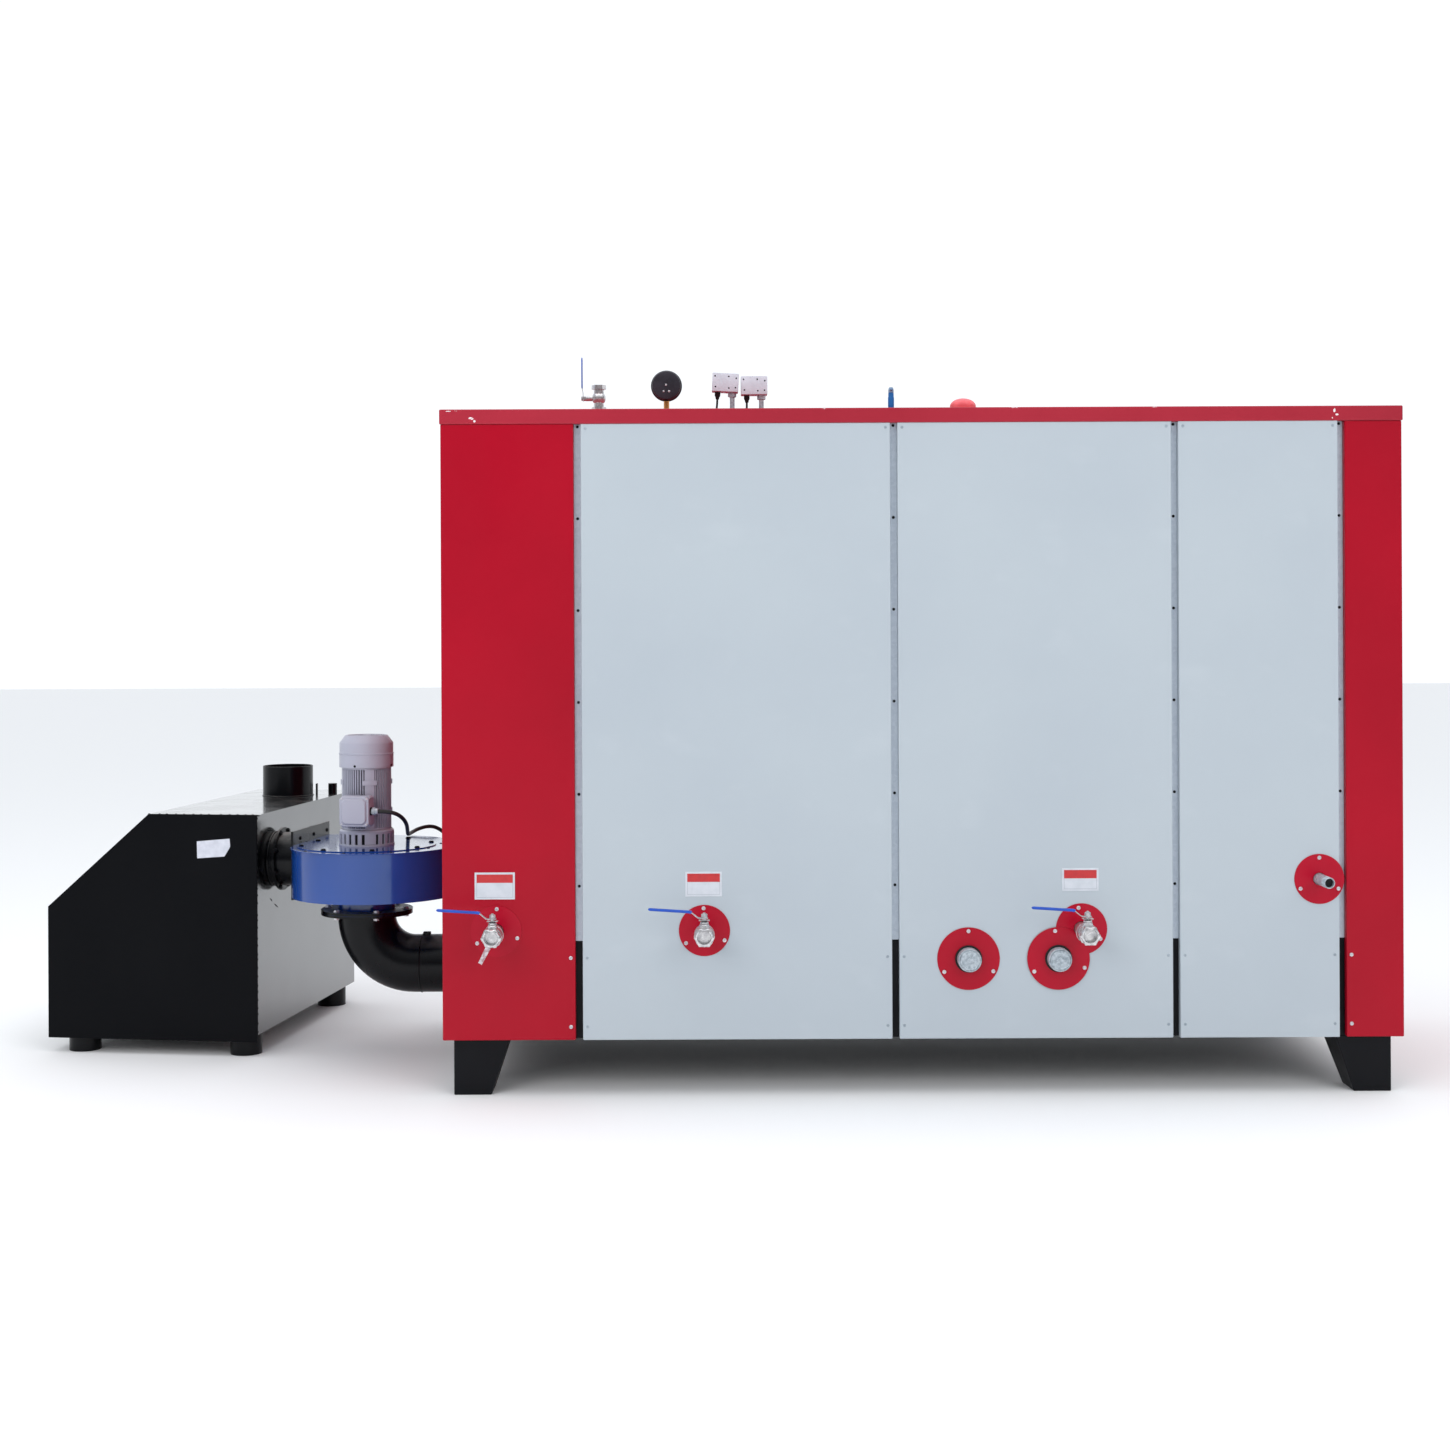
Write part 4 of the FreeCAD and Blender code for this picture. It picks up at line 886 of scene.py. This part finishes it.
# The safety valve is blue-enamelled brass, with a paler cap worn by the weather.
valve_blue = enamel("blue_valve_enamel", "#2563a8", "#2f74b8", 0.3)[0]
worn_cap = enamel("weathered_blue_cap", "#8fa6bd", "#6d8cab", 0.4)[0]
safety_low, safety_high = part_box("safety_valve")
safety_at = upwards(Vector(((safety_low.x + safety_high.x) / 2, gauge_middle.y, roof_up)))
mesh = bmesh.new()
turned(mesh, [(7, 0), (7, 52)], 32, safety_at)
turned(mesh, [(8.4, 4), (8.9, 5, 6), (8.9, 17, 6), (8.4, 18)], 24, safety_at)
turned(mesh, [(8.4, 46), (8.9, 47, 6), (8.9, 59, 6), (8.4, 60)], 24, safety_at)
turned(mesh, [(8, 20), (10.2, 26), (10.2, 40), (8, 45)], 32, safety_at)
turned(mesh, [(8, 60), (9.6, 64), (10.2, 70), (10.2, 96), (9.2, 99), (9.2, 110),
              (8.2, 113)], 32, safety_at)
turned(mesh, [(9, 113), (9, 121), (7.6, 127), (5.5, 130.6)], 32, safety_at, 1)
slab(mesh, Vector((safety_at.translation.x - 0.004, safety_low.y, roof_up + 0.119)),
     Vector((safety_at.translation.x + 0.004, gauge_middle.y, roof_up + 0.123)), 1, 0.001)
smooth_over(keep("safety_valve_body", mesh, [valve_blue, worn_cap],
                 stands_for=("safety_valve",)))

# The transport cap is soft red polythene, a little see-through and milky where thin.
polythene, tree, shader, place = finish("soft_red_polythene", Roughness=0.42)
shader.inputs["Subsurface Weight"].default_value = 0.25
shader.inputs["Subsurface Radius"].default_value = (0.02, 0.006, 0.006)
tree.links.new(blend_colours(tree, between(tree, clouds(tree, place, 35, 4), 0.35, 0.7),
                             "#f26a72", "#e0555f"), shader.inputs["Base Color"])
frame["nodes"]["outlet_cap"].data.materials[0] = polythene
frame["nodes"]["steam_outlet"].data.materials[0] = malleable

# --------------------------------------------------------------- flue elbow and casing
# The flue gas leaves the cabinet through a welded black elbow and enters the fan from
# below. The fan's casing is rolled sheet in blue gloss enamel, and its motor hangs from a
# bolted disc on top.
def black_plate_enamel(name, light_and_dust_level, ior, glossy, dull_end, coat=0.0):
    """Thick black enamel on welded plate: it mirrors its surroundings at a low angle,
    waves a little, and turns a lighter grey in patches where it faces up: painted light from above,
    with some dust."""
    material, tree, shader, place = finish(name, IOR=ior)
    shader.inputs["Coat Weight"].default_value = coat
    shader.inputs["Coat Roughness"].default_value = 0.12
    upward = add(tree, "ShaderNodeSeparateXYZ", None, {
        0: add(tree, "ShaderNodeNewGeometry").outputs["Normal"]}).outputs["Z"]
    # Faces that look up are painted a lighter grey in patches: painted light from the sky, with
    # some dust.
    lying = between(tree, upward, 0.6, 1.0)
    patchy = between(tree, clouds(tree, place, 11, 8), 0.35, 0.8)
    lit_and_dusty = add(tree, "ShaderNodeMath", {"operation": "MULTIPLY"}, {0: lying, 1: patchy})
    amount = add(tree, "ShaderNodeMath", {"operation": "MULTIPLY", 1: light_and_dust_level},
                 {0: lit_and_dusty.outputs[0]}).outputs[0]
    tree.links.new(blend_colours(tree, amount, "#05060a", "#a8a5a2"),
                   shader.inputs["Base Color"])
    smears = add(tree, "ShaderNodeMapRange", {"To Min": glossy, "To Max": dull_end},
                 {"Value": between(tree, clouds(tree, place, 5, 6, (1, 1, 0.5)), 0.3, 0.8)})
    dull = add(tree, "ShaderNodeMath", {"operation": "MULTIPLY_ADD", 1: 0.35},
               {0: amount, 2: smears.outputs["Result"]})
    tree.links.new(dull.outputs[0], shader.inputs["Roughness"])
    relief(tree, shader, clouds(tree, place, 6, 3), 0.004, 0.2)
    return material


black_enamel = black_plate_enamel("gloss_black_enamel", 0.9, 1.3, 0.2, 0.36)
mirror_black = black_plate_enamel("polished_black_enamel", 0.4, 1.6, 0.14, 0.3, 1.0)
matt_black = black_plate_enamel("brushed_black_enamel", 0.6, 1.2, 0.3, 0.5)
fan_blue, tree, shader, place = enamel("blue_gloss_enamel", "#0e4395", "#0d3c86", 0.14, 0.9,
                                       0.03)
blower_frame = Matrix.Translation((blower_axis.x, blower_axis.y, 0)) \
    @ Matrix.Rotation(-blower_turn, 4, "Z") @ Matrix.Scale(0.001, 4)
for node in ("flue_elbow", "outlet_flange", "flue_pipe", "flue_box_stub", "chimney_stub",
             "flue_box_feet"):
    frame["nodes"][node].data.materials[0] = black_enamel
for node in ("flue_box_body", "flue_box_lid"):
    frame["nodes"][node].data.materials[0] = mirror_black
for node in ("blower_casing", "motor_disc"):
    frame["nodes"][node].data.materials[0] = fan_blue
keep("blower_top_plate_rolled", round_edges(merged("blower_top_plate"), 0.0015, 2),
     [fan_blue], stands_for=("blower_top_plate",))


def around(radius, up, count, first, facing, centre=(0, 0)):
    """Places spaced evenly on a circle round the blower's axis, all facing one way."""
    return [(blower_frame @ Vector((
        centre[0] + radius * math.cos(math.radians(first + 360 / count * step)),
        centre[1] + radius * math.sin(math.radians(first + 360 / count * step)), up)),
        facing) for step in range(count)]


black_bolt = head_tree("black_bolt_head", hexagon_head(), satin_black)
UP, DOWN = Vector((0, 0, 1)), Vector((0, 0, -1))
FLANGE, FLANGE_RIM, FLANGE_BOLTS, BOLT_CIRCLE = 8, 148, 6, 131
PAINT = 0.3
inlet_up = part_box("flue_elbow")[1].z * 1000
flange_up = inlet_up + FLANGE
heads("inlet_flange_bolts", bolt,
      around(BOLT_CIRCLE, inlet_up - FLANGE, FLANGE_BOLTS, 0, DOWN)
      + around(BOLT_CIRCLE, flange_up + 0.4, FLANGE_BOLTS, 0, UP), 0.0095, 0.008)
# A black skin 0.3 mm proud covers the fan's blue inlet flange, so that it reads black like the
# elbow's flange below it.
mesh = bmesh.new()
turned(mesh, [(FLANGE_RIM + PAINT, inlet_up + PAINT), (FLANGE_RIM + PAINT, flange_up + PAINT),
              (94, flange_up + PAINT), (94, flange_up), (FLANGE_RIM - 1, flange_up),
              (FLANGE_RIM - 1, inlet_up + PAINT)], 96, blower_frame, shut=False)
smooth_over(keep("inlet_flange_enamel", mesh, [black_enamel]))
heads("motor_disc_bolts", black_bolt, around(210, 704, 8, -68, UP), 0.0075, 0.005)
heads("top_plate_screws", dark_hole, around(240, 701, 10, -90, UP), 0.0045, 0.002)


def bead(mesh, at, radius, thick, lift=0):
    """Adds a weld bead or a rolled ring round an axis."""
    turned(mesh, [(radius + thick * math.cos(math.tau * step / 8),
                   lift + thick * math.sin(math.tau * step / 8)) for step in range(8)],
           64, at, shut=False)


# Weld beads join the elbow's runs, and a small clamp lug sits on top of its level run.
mesh = bmesh.new()
ELBOW_RADIUS, ELBOW_SEAM, ELBOW_LEVEL = 93.5, 181, 315
to_cabinet = Matrix.Translation((blower_axis.x, blower_axis.y, ELBOW_LEVEL / 1000)) \
    @ Matrix.Rotation(math.pi / 2, 4, "Y") @ Matrix.Scale(0.001, 4)
bead(mesh, to_cabinet, ELBOW_RADIUS - 0.5, 2.6, ELBOW_SEAM)
bead(mesh, blower_frame, ELBOW_RADIUS - 0.5, 2.6, inlet_up - FLANGE - 3)
lug = Vector((blower_axis.x + 0.196, blower_axis.y, (ELBOW_LEVEL + ELBOW_RADIUS) / 1000))
slab(mesh, lug - Vector((0.012, 0.010, 0.004)), lug + Vector((0.012, 0.010, 0.009)), 0, 0.002)
smooth_over(keep("flue_elbow_welds", mesh, [black_enamel]))

# -------------------------------------------------------------------------------- motor
# A flange-mounted motor in silver-grey enamel on die-cast aluminium: slotted base, finned
# body between four smooth bands, steel fan cowl with its grille, and the terminal box.
motor_grey = enamel("silver_grey_motor_enamel", "#b7b8c6", "#a7a8b8", 0.32)[0]
# Painted shade: near-black, put where the base's slots and the grille's grooves are only in shadow.
painted_shade_black, tree, shader, place = finish("painted_shade_in_recesses", Roughness=0.8)
tree.links.new(blend_colours(tree, clouds(tree, place, 60, 3), "#08090c", "#101116"),
               shader.inputs["Base Color"])
base_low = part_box("motor_base")[0]
body_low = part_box("motor_body")[0]
cowl_low, cowl_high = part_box("motor_cowl")
BASE_UP, BODY_UP = base_low.z * 1000, body_low.z * 1000
COWL_UP, MOTOR_TOP = cowl_low.z * 1000, cowl_high.z * 1000


def sector(mesh, inner, outer, first, last, low, high, material=0):
    """Adds a curved block round the blower's axis. Angles are from the front towards +X."""
    steps = max(1, round((last - first) / 6))
    rows = []
    for step in range(steps + 1):
        angle = math.radians(-90 + first + (last - first) * step / steps)
        way = Vector((math.cos(angle), math.sin(angle), 0))
        rows.append([mesh.verts.new(blower_frame @ (way * radius + Vector((0, 0, up))))
                     for radius, up in ((inner, low), (outer, low), (outer, high),
                                        (inner, high))])
    made = [mesh.faces.new(rows[0][::-1]), mesh.faces.new(rows[-1])]
    for first_row, second_row in zip(rows, rows[1:]):
        for side in range(4):
            after = (side + 1) % 4
            made.append(mesh.faces.new((first_row[side], second_row[side],
                                        second_row[after], first_row[after])))
    for face in made:
        face.material_index = material


mesh = bmesh.new()
# The core seen through the base's slots is painted shade, near-black.
turned(mesh, [(82, BASE_UP), (82, BODY_UP)], 64, blower_frame, 1)
turned(mesh, [(90, BASE_UP), (90, BASE_UP + 5), (89, BASE_UP + 6), (80, BASE_UP + 6)], 64,
       blower_frame)
turned(mesh, [(80, BODY_UP - 14), (88, BODY_UP - 14), (88, BODY_UP - 6), (84, BODY_UP - 1),
              (80, BODY_UP)], 64, blower_frame)
for quarter in range(4):
    start = -50 + 90 * quarter
    for bar in range(4):
        sector(mesh, 80, 88, start + 3.2 + 15 * bar, start + 11.8 + 15 * bar, BASE_UP + 4,
               BODY_UP - 12)
    sector(mesh, 80, 88.5, start + 63.2, start + 86.8, BASE_UP + 7, BODY_UP - 12)
bmesh.ops.recalc_face_normals(mesh, faces=mesh.faces)
smooth_over(keep("motor_base_slotted", mesh, [motor_grey, painted_shade_black],
                 stands_for=("motor_base",)), 25)


# The cast fins are 3 mm thick at 6 degrees' pitch. Each stands on a point at its root.
tree = bpy.data.node_groups.new("cooling_fins", "GeometryNodeTree")
for label, kind in (("Geometry", "Geometry"), ("Fin thickness", "Float"),
                    ("Fin reach", "Float"), ("Fin length", "Float")):
    tree.interface.new_socket(label, in_out="INPUT", socket_type="NodeSocket" + kind)
tree.interface.new_socket("Geometry", in_out="OUTPUT", socket_type="NodeSocketGeometry")
given = add(tree, "NodeGroupInput").outputs
root = add(tree, "GeometryNodeInputNamedAttribute",
           {"data_type": "FLOAT_VECTOR", "Name": "facing"}).outputs[0]
blade = add(tree, "GeometryNodeMeshCube", None, {
    "Size": add(tree, "ShaderNodeCombineXYZ", None, {
        0: given["Fin reach"], 1: given["Fin thickness"],
        2: given["Fin length"]}).outputs[0]}).outputs["Mesh"]
fins = add(tree, "GeometryNodeInstanceOnPoints", None, {
    "Points": given["Geometry"], "Instance": blade,
    "Rotation": add(tree, "FunctionNodeAlignRotationToVector", {"axis": "X"},
                    {"Vector": root}).outputs[0]})
real = add(tree, "GeometryNodeRealizeInstances", None, {"Geometry": fins.outputs[0]})
cast = add(tree, "GeometryNodeSetMaterial", {"Material": motor_grey},
           {"Geometry": real.outputs[0]})
add(tree, "NodeGroupOutput", None, {"Geometry": cast.outputs[0]})

FIN_ROOT, FIN_TIP = 67, 79.5
fin_points, fin_ways = [], []
for quarter in range(4):
    for fin in range(11):
        angle = math.radians(-90 - 51 + 90 * quarter + 6 * fin)
        way = Vector((math.cos(angle), math.sin(angle), 0))
        fin_points.append(blower_frame @ (way * (FIN_ROOT + FIN_TIP) / 2
                                          + Vector((0, 0, (BODY_UP + COWL_UP) / 2))))
        fin_ways.append((blower_frame.to_3x3() @ way).normalized())
points = bpy.data.meshes.new("motor_fins")
points.from_pydata(fin_points, [], [])
facing = points.attributes.new("facing", "FLOAT_VECTOR", "POINT")
facing.data.foreach_set("vector", [part for way in fin_ways for part in way])
fin_piece = bpy.data.objects.new("motor_fins", points)
bpy.context.collection.objects.link(fin_piece)
modifier = fin_piece.modifiers.new("fins", "NODES")
modifier.node_group = tree
sockets = {item.name: item.identifier for item in tree.interface.items_tree
           if item.in_out == "INPUT"}
modifier[sockets["Fin thickness"]] = 0.003
modifier[sockets["Fin reach"]] = (FIN_TIP - FIN_ROOT) / 1000
modifier[sockets["Fin length"]] = (COWL_UP - BODY_UP - 10) / 1000
plain = bpy.data.meshes.new_from_object(
    fin_piece.evaluated_get(bpy.context.evaluated_depsgraph_get()))
fin_piece.modifiers.clear()
fin_piece.data = plain
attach(fin_piece, "plant")

mesh = bmesh.new()
made = turned(mesh, [(80, BODY_UP), (80, BODY_UP + 5), (68, BODY_UP + 8), (68, COWL_UP - 8),
              (80, COWL_UP - 5), (80, COWL_UP)], 72, blower_frame)
# The core between the fins takes a darker grey: painted shade.
for face in made:
    if math.hypot(*(face.calc_center_median() - blower_axis).xy) < 0.069:
        face.material_index = 1
for quarter in range(4):
    start = 13 + 90 * quarter
    sector(mesh, 66, 79.8, start, start + 23, BODY_UP + 4, COWL_UP - 4)
    for up in (BODY_UP + 52, COWL_UP - 56):
        sector(mesh, 70, 83.5, start - 5, start + 28, up, up + 15)
seat_low = Vector((-34, -84, BASE_UP + 76))
seat_high = Vector((34, -70, BASE_UP + 160))
block_verts = [mesh.verts.new(blower_frame @ Vector((x, y, z)))
               for x in (seat_low.x, seat_high.x) for y in (seat_low.y, seat_high.y)
               for z in (seat_low.z, seat_high.z)]
for ring in ((0, 1, 3, 2), (4, 6, 7, 5), (0, 4, 5, 1), (2, 3, 7, 6), (0, 2, 6, 4),
             (1, 5, 7, 3)):
    mesh.faces.new([block_verts[index] for index in ring])
bmesh.ops.recalc_face_normals(mesh, faces=mesh.faces)
# A darker grey for the core between the fins: painted shade.
painted_fin_shade = enamel("painted_shade_between_fins", "#6d6c78", "#5d5c68", 0.5)[0]
smooth_over(keep("motor_body_cast", mesh, [motor_grey, painted_fin_shade],
                 stands_for=("motor_body",)), 25)

# The cowl is deep-drawn sheet with a rolled bead, a domed shoulder and a ringed grille.
grille = []
for ring in range(6):
    outer = 60 - 8 * ring
    grille += [(outer, MOTOR_TOP - 0.5), (outer - 0.6, MOTOR_TOP - 4),
               (outer - 4.4, MOTOR_TOP - 4), (outer - 5, MOTOR_TOP - 0.5)]
mesh = bmesh.new()
made = turned(mesh, [(84, COWL_UP), (87.5, COWL_UP), (87.5, COWL_UP + 42),
                     (88.9, COWL_UP + 43), (88.9, COWL_UP + 45), (86.9, COWL_UP + 46.5),
                     (86.9, COWL_UP + 77), (86.2, COWL_UP + 80), (70, COWL_UP + 101.5),
                     (67, COWL_UP + 103.5), (64, COWL_UP + 103.5)]
              + grille, 72, blower_frame)
# The floors of the grille's grooves are painted shade, near-black.
for face in made:
    if max(vert.co.z for vert in face.verts) < (MOTOR_TOP - 3.8) / 1000 \
            and math.hypot(*(face.calc_center_median() - blower_axis).xy) < 0.062:
        face.material_index = 1
smooth_over(keep("motor_cowl_drawn", mesh, [motor_grey, painted_shade_black],
                 stands_for=("motor_cowl",)), 28)
cowl_screws = []
for angle in (-8, 82, 172, 262):
    way = Vector((math.sin(math.radians(angle)), -math.cos(math.radians(angle)), 0))
    cowl_screws.append((blower_frame @ (way * 87.3 + Vector((0, 0, COWL_UP + 6))),
                        (blower_frame.to_3x3() @ way).normalized()))
heads("motor_cowl_screws", dark_hole, cowl_screws, 0.004, 0.002)

# The terminal box is die-cast, with an eight-sided raised cover and four corner screws.
def prism(mesh, outline, near, far, chamfer, at, material=0):
    """Adds a closed plate from its outline of across and up, its front edge chamfered."""
    middle_x = sum(x for x, z in outline) / len(outline)
    middle_z = sum(z for x, z in outline) / len(outline)
    loops = []
    for along, shrink in ((near, 0), (far + chamfer, 0), (far, chamfer)):
        loop = []
        for x, z in outline:
            size = math.hypot(x - middle_x, z - middle_z)
            share = (size - shrink) / size
            loop.append(mesh.verts.new(at @ Vector((middle_x + (x - middle_x) * share, along,
                                                    middle_z + (z - middle_z) * share))))
        loops.append(loop)
    made = [mesh.faces.new(loops[0]), mesh.faces.new(loops[-1][::-1])]
    for first_loop, second_loop in zip(loops, loops[1:]):
        for step in range(len(outline)):
            after = (step + 1) % len(outline)
            made.append(mesh.faces.new((first_loop[step], second_loop[step],
                                        second_loop[after], first_loop[after])))
    for face in made:
        face.material_index = material


def octagon(half, cut, up):
    """An eight-sided outline, its corners cut off."""
    return [(-half, up - half + cut), (-half + cut, up - half), (half - cut, up - half),
            (half, up - half + cut), (half, up + half - cut), (half - cut, up + half),
            (-half + cut, up + half), (-half, up + half - cut)]


TERMINAL_UP = BASE_UP + 69 + 49
mesh = bmesh.new()
prism(mesh, octagon(49, 5, TERMINAL_UP), -82, -119, 2, blower_frame)
prism(mesh, octagon(46, 9, TERMINAL_UP), -117, -120.5, 0.5, blower_frame, 1)
prism(mesh, octagon(49, 9, TERMINAL_UP), -120.5, -135, 3, blower_frame)
prism(mesh, octagon(41, 10, TERMINAL_UP), -134, -141.5, 4, blower_frame)
gland = blower_frame @ Matrix.Translation((0, -112, 822)) @ Matrix.Rotation(math.pi / 2, 4, "Y")
turned(mesh, [(13, 48), (13, 53), (12, 54)], 24, gland, 1)
turned(mesh, [(9.5, 53), (10.6, 54, 6), (10.6, 63, 6), (9.5, 64)], 24, gland, 2)
turned(mesh, [(10.4, 64), (10.4, 69), (8.8, 73.5), (7, 74)], 32, gland, 2)
bmesh.ops.recalc_face_normals(mesh, faces=mesh.faces)
smooth_over(keep("terminal_box_cast", mesh, [motor_grey, seal_rubber, malleable],
                 stands_for=("terminal_box",)), 25)
toward_front = (blower_frame.to_3x3() @ Vector((0, -1, 0))).normalized()
heads("terminal_box_screws", bright_screw,
      [(blower_frame @ Vector((across, -134.6, TERMINAL_UP + up)), toward_front)
       for across in (-41, 41) for up in (-41, 41)], 0.0032, 0.002)

# ------------------------------------------------------------ outlet, pipe and flue box
# The fan blows through a bolted flange and a short pipe into the flue box: welded plate in
# thick black enamel, its front plate edged with a hand-laid weld, with a round chimney.
toward_left = (blower_frame.to_3x3() @ Vector((-1, 0, 0))).normalized()
OUTLET_FACE, RING_FACE = -240, -338
PIPE_ALONG, PIPE_UP = 158, 635
RING_BOLTS, RING_CIRCLE = 8, 98
flange_bolts = [(blower_frame @ Vector((OUTLET_FACE, along, up)), -toward_left)
                for along in (40, 175, 310) for up in (531, 717)]
ring_bolts = []
for step in range(RING_BOLTS):
    angle = math.tau * (step + 0.5) / RING_BOLTS
    ring_bolts.append((blower_frame @ Vector((
        RING_FACE, PIPE_ALONG + RING_CIRCLE * math.cos(angle),
        PIPE_UP + RING_CIRCLE * math.sin(angle))), -toward_left))
heads("ring_flange_bolts", black_bolt, ring_bolts, 0.0075, 0.006)
heads("outlet_flange_bolts", black_bolt, flange_bolts, 0.0055, 0.004)

front_plate = round_edges(merged("flue_box_front"), 0.0018, 2)
keep("flue_box_front_plate", front_plate, [matt_black],
     stands_for=("flue_box_front",))

# Weld dots, about 8 mm across, run down the front plate's edge and along the lid's seam.
random_dots = random.Random(11)
dome = bmesh.new()
turned(dome, [(1, 0), (0.86, 0.5), (0.5, 0.87), (0.15, 1)], 10)
weld_dot = head_tree("weld_dot", dome, black_enamel)
BOX_RIGHT, BOX_FRONT = -369, -18
dots = []
for up in range(84, 792, 26):
    dots.append((blower_frame @ Vector((BOX_RIGHT - 1, BOX_FRONT + 6,
                                        up + random_dots.uniform(-7, 7))), -toward_left))
for across in range(-742, -376, 30):
    dots.append((blower_frame @ Vector((across + random_dots.uniform(-8, 8),
                                        BOX_FRONT + 7, 797)), UP))
heads("flue_box_welds", weld_dot, dots, 0.0042, 0.0028, "gloss_black")

mesh = bmesh.new()
chimney_at = blower_frame @ Matrix.Translation((BOX_RIGHT - 165, BOX_FRONT + 760, 0))
bead(mesh, chimney_at, 90, 3, 799)
bead(mesh, chimney_at, 88.5, 1.6, 906)
pipe_at = blower_frame @ Matrix.Translation((0, PIPE_ALONG, PIPE_UP)) \
    @ Matrix.Rotation(-math.pi / 2, 4, "Y")
bead(mesh, pipe_at, 89, 3, 349)
bead(mesh, pipe_at, 89, 3, 250)
bead(mesh, pipe_at, 90, 3.5, 366)
smooth_over(keep("flue_box_beads", mesh, [black_enamel]))

# Two short slanting scratches are below the pipe, and a narrow tab stands on the lid
# behind the chimney.
mesh = bmesh.new()
for start, end in (((119, 509), (145, 494)), ((157, 486), (200, 466))):
    run = Vector((0, end[0] - start[0], end[1] - start[1]))
    across = Vector((0, -run.z, run.y)).normalized() * 3
    first, last = (Vector((BOX_RIGHT + 0.25, BOX_FRONT + along, up))
                   for along, up in (start, end))
    middle = (first + last) / 2
    ring = [first, middle - across, last, middle + across]
    near = [mesh.verts.new(blower_frame @ point) for point in ring]
    far = [mesh.verts.new(blower_frame @ (point - Vector((0.4, 0, 0)))) for point in ring]
    mesh.faces.new(near)
    mesh.faces.new(far[::-1])
    for step in range(4):
        after = (step + 1) % 4
        mesh.faces.new((far[step], far[after], near[after], near[step]))
bmesh.ops.recalc_face_normals(mesh, faces=mesh.faces)
tab_at = blower_frame @ Vector((BOX_RIGHT - 74, BOX_FRONT + 800, 798))
slab(mesh, tab_at, tab_at + Vector((0.005, 0.02, 0.04)), 0, 0.0008)
keep("flue_box_scratches_and_tab", mesh, [matt_black])

# A blank paper sticker, torn at one corner, is on the front plate.
sticker_paper, tree, shader, place = finish("plain_sticker_paper", Roughness=0.6)
tree.links.new(blend_colours(tree, between(tree, clouds(tree, place, 55, 5), 0.35, 0.8),
                             "#d6d9e4", "#bfc3cf"), shader.inputs["Base Color"])
mesh = bmesh.new()
prism(mesh, [(BOX_RIGHT - 205, 653), (BOX_RIGHT - 111, 660), (BOX_RIGHT - 91, 692),
             (BOX_RIGHT - 93, 719), (BOX_RIGHT - 206, 709)][::-1], BOX_FRONT, BOX_FRONT - 0.7,
      0.1, blower_frame)
bmesh.ops.recalc_face_normals(mesh, faces=mesh.faces)
keep("flue_box_sticker", mesh, [sticker_paper])

# --------------------------------------------------------------------- floor and light
# A pale studio. Its far side is a bright backdrop, the room behind the camera is darker,
# and one large soft light hangs overhead, with two more in front.
floor_mesh = bpy.data.meshes.new("studio_floor")
floor_mesh.from_pydata([(-40, -40, 0), (40, -40, 0), (40, 40, 0), (-40, 40, 0)], [],
                       [(0, 1, 2, 3)])
floor = bpy.data.objects.new("studio_floor", floor_mesh)
bpy.context.collection.objects.link(floor)
paper, tree, shader, place = finish("studio_paper", Roughness=0.9)
shader.inputs["Base Color"].default_value = colour("#f6f6f7")
floor_mesh.materials.append(paper)

world = bpy.data.worlds.new("studio")
world.use_nodes = True
tree = world.node_tree
backdrop = tree.nodes["Background"]
backdrop.inputs["Color"].default_value = colour("#f7fbff")
direction = add(tree, "ShaderNodeSeparateXYZ", None,
                {0: add(tree, "ShaderNodeTexCoord").outputs["Generated"]})
level = add(tree, "ShaderNodeMapRange", {"From Min": -0.35, "From Max": 0.35, "To Min": 0.16,
                                         "To Max": 1.05}, {"Value": direction.outputs["Y"]})
above = add(tree, "ShaderNodeMapRange", {"From Min": 0.12, "From Max": 0.8, "To Min": 0.0,
                                         "To Max": 1.15}, {"Value": direction.outputs["Z"]})
room = add(tree, "ShaderNodeMath", {"operation": "MAXIMUM"},
           {0: level.outputs["Result"], 1: above.outputs["Result"]})
seen = add(tree, "ShaderNodeMix", {3: 1.12}, {
    0: add(tree, "ShaderNodeLightPath").outputs["Is Camera Ray"], 2: room.outputs[0]})
tree.links.new(seen.outputs[0], backdrop.inputs["Strength"])
bpy.context.scene.world = world
bpy.context.scene.view_settings.view_transform = "Standard"


def softbox(name, place, aim, size, power, mirrored=True):
    light = bpy.data.lights.new(name, "AREA")
    light.shape = "RECTANGLE"
    light.size, light.size_y = size
    light.energy = power
    lamp = bpy.data.objects.new(name, light)
    lamp.location = place
    lamp.rotation_euler = (Vector(aim) - Vector(place)).to_track_quat("-Z", "Y").to_euler()
    lamp.visible_glossy = mirrored
    bpy.context.collection.objects.link(lamp)


softbox("overhead", (0.2, -1.0, 6.5), (0.2, 0, 1), (8, 6), 115)
softbox("front_left", (-4.5, -8.0, 4.2), (-0.4, -0.5, 1), (5, 4), 234, mirrored=False)
softbox("front_right", (5.0, -8.0, 4.2), (0.8, -0.5, 1), (5, 4), 187, mirrored=False)
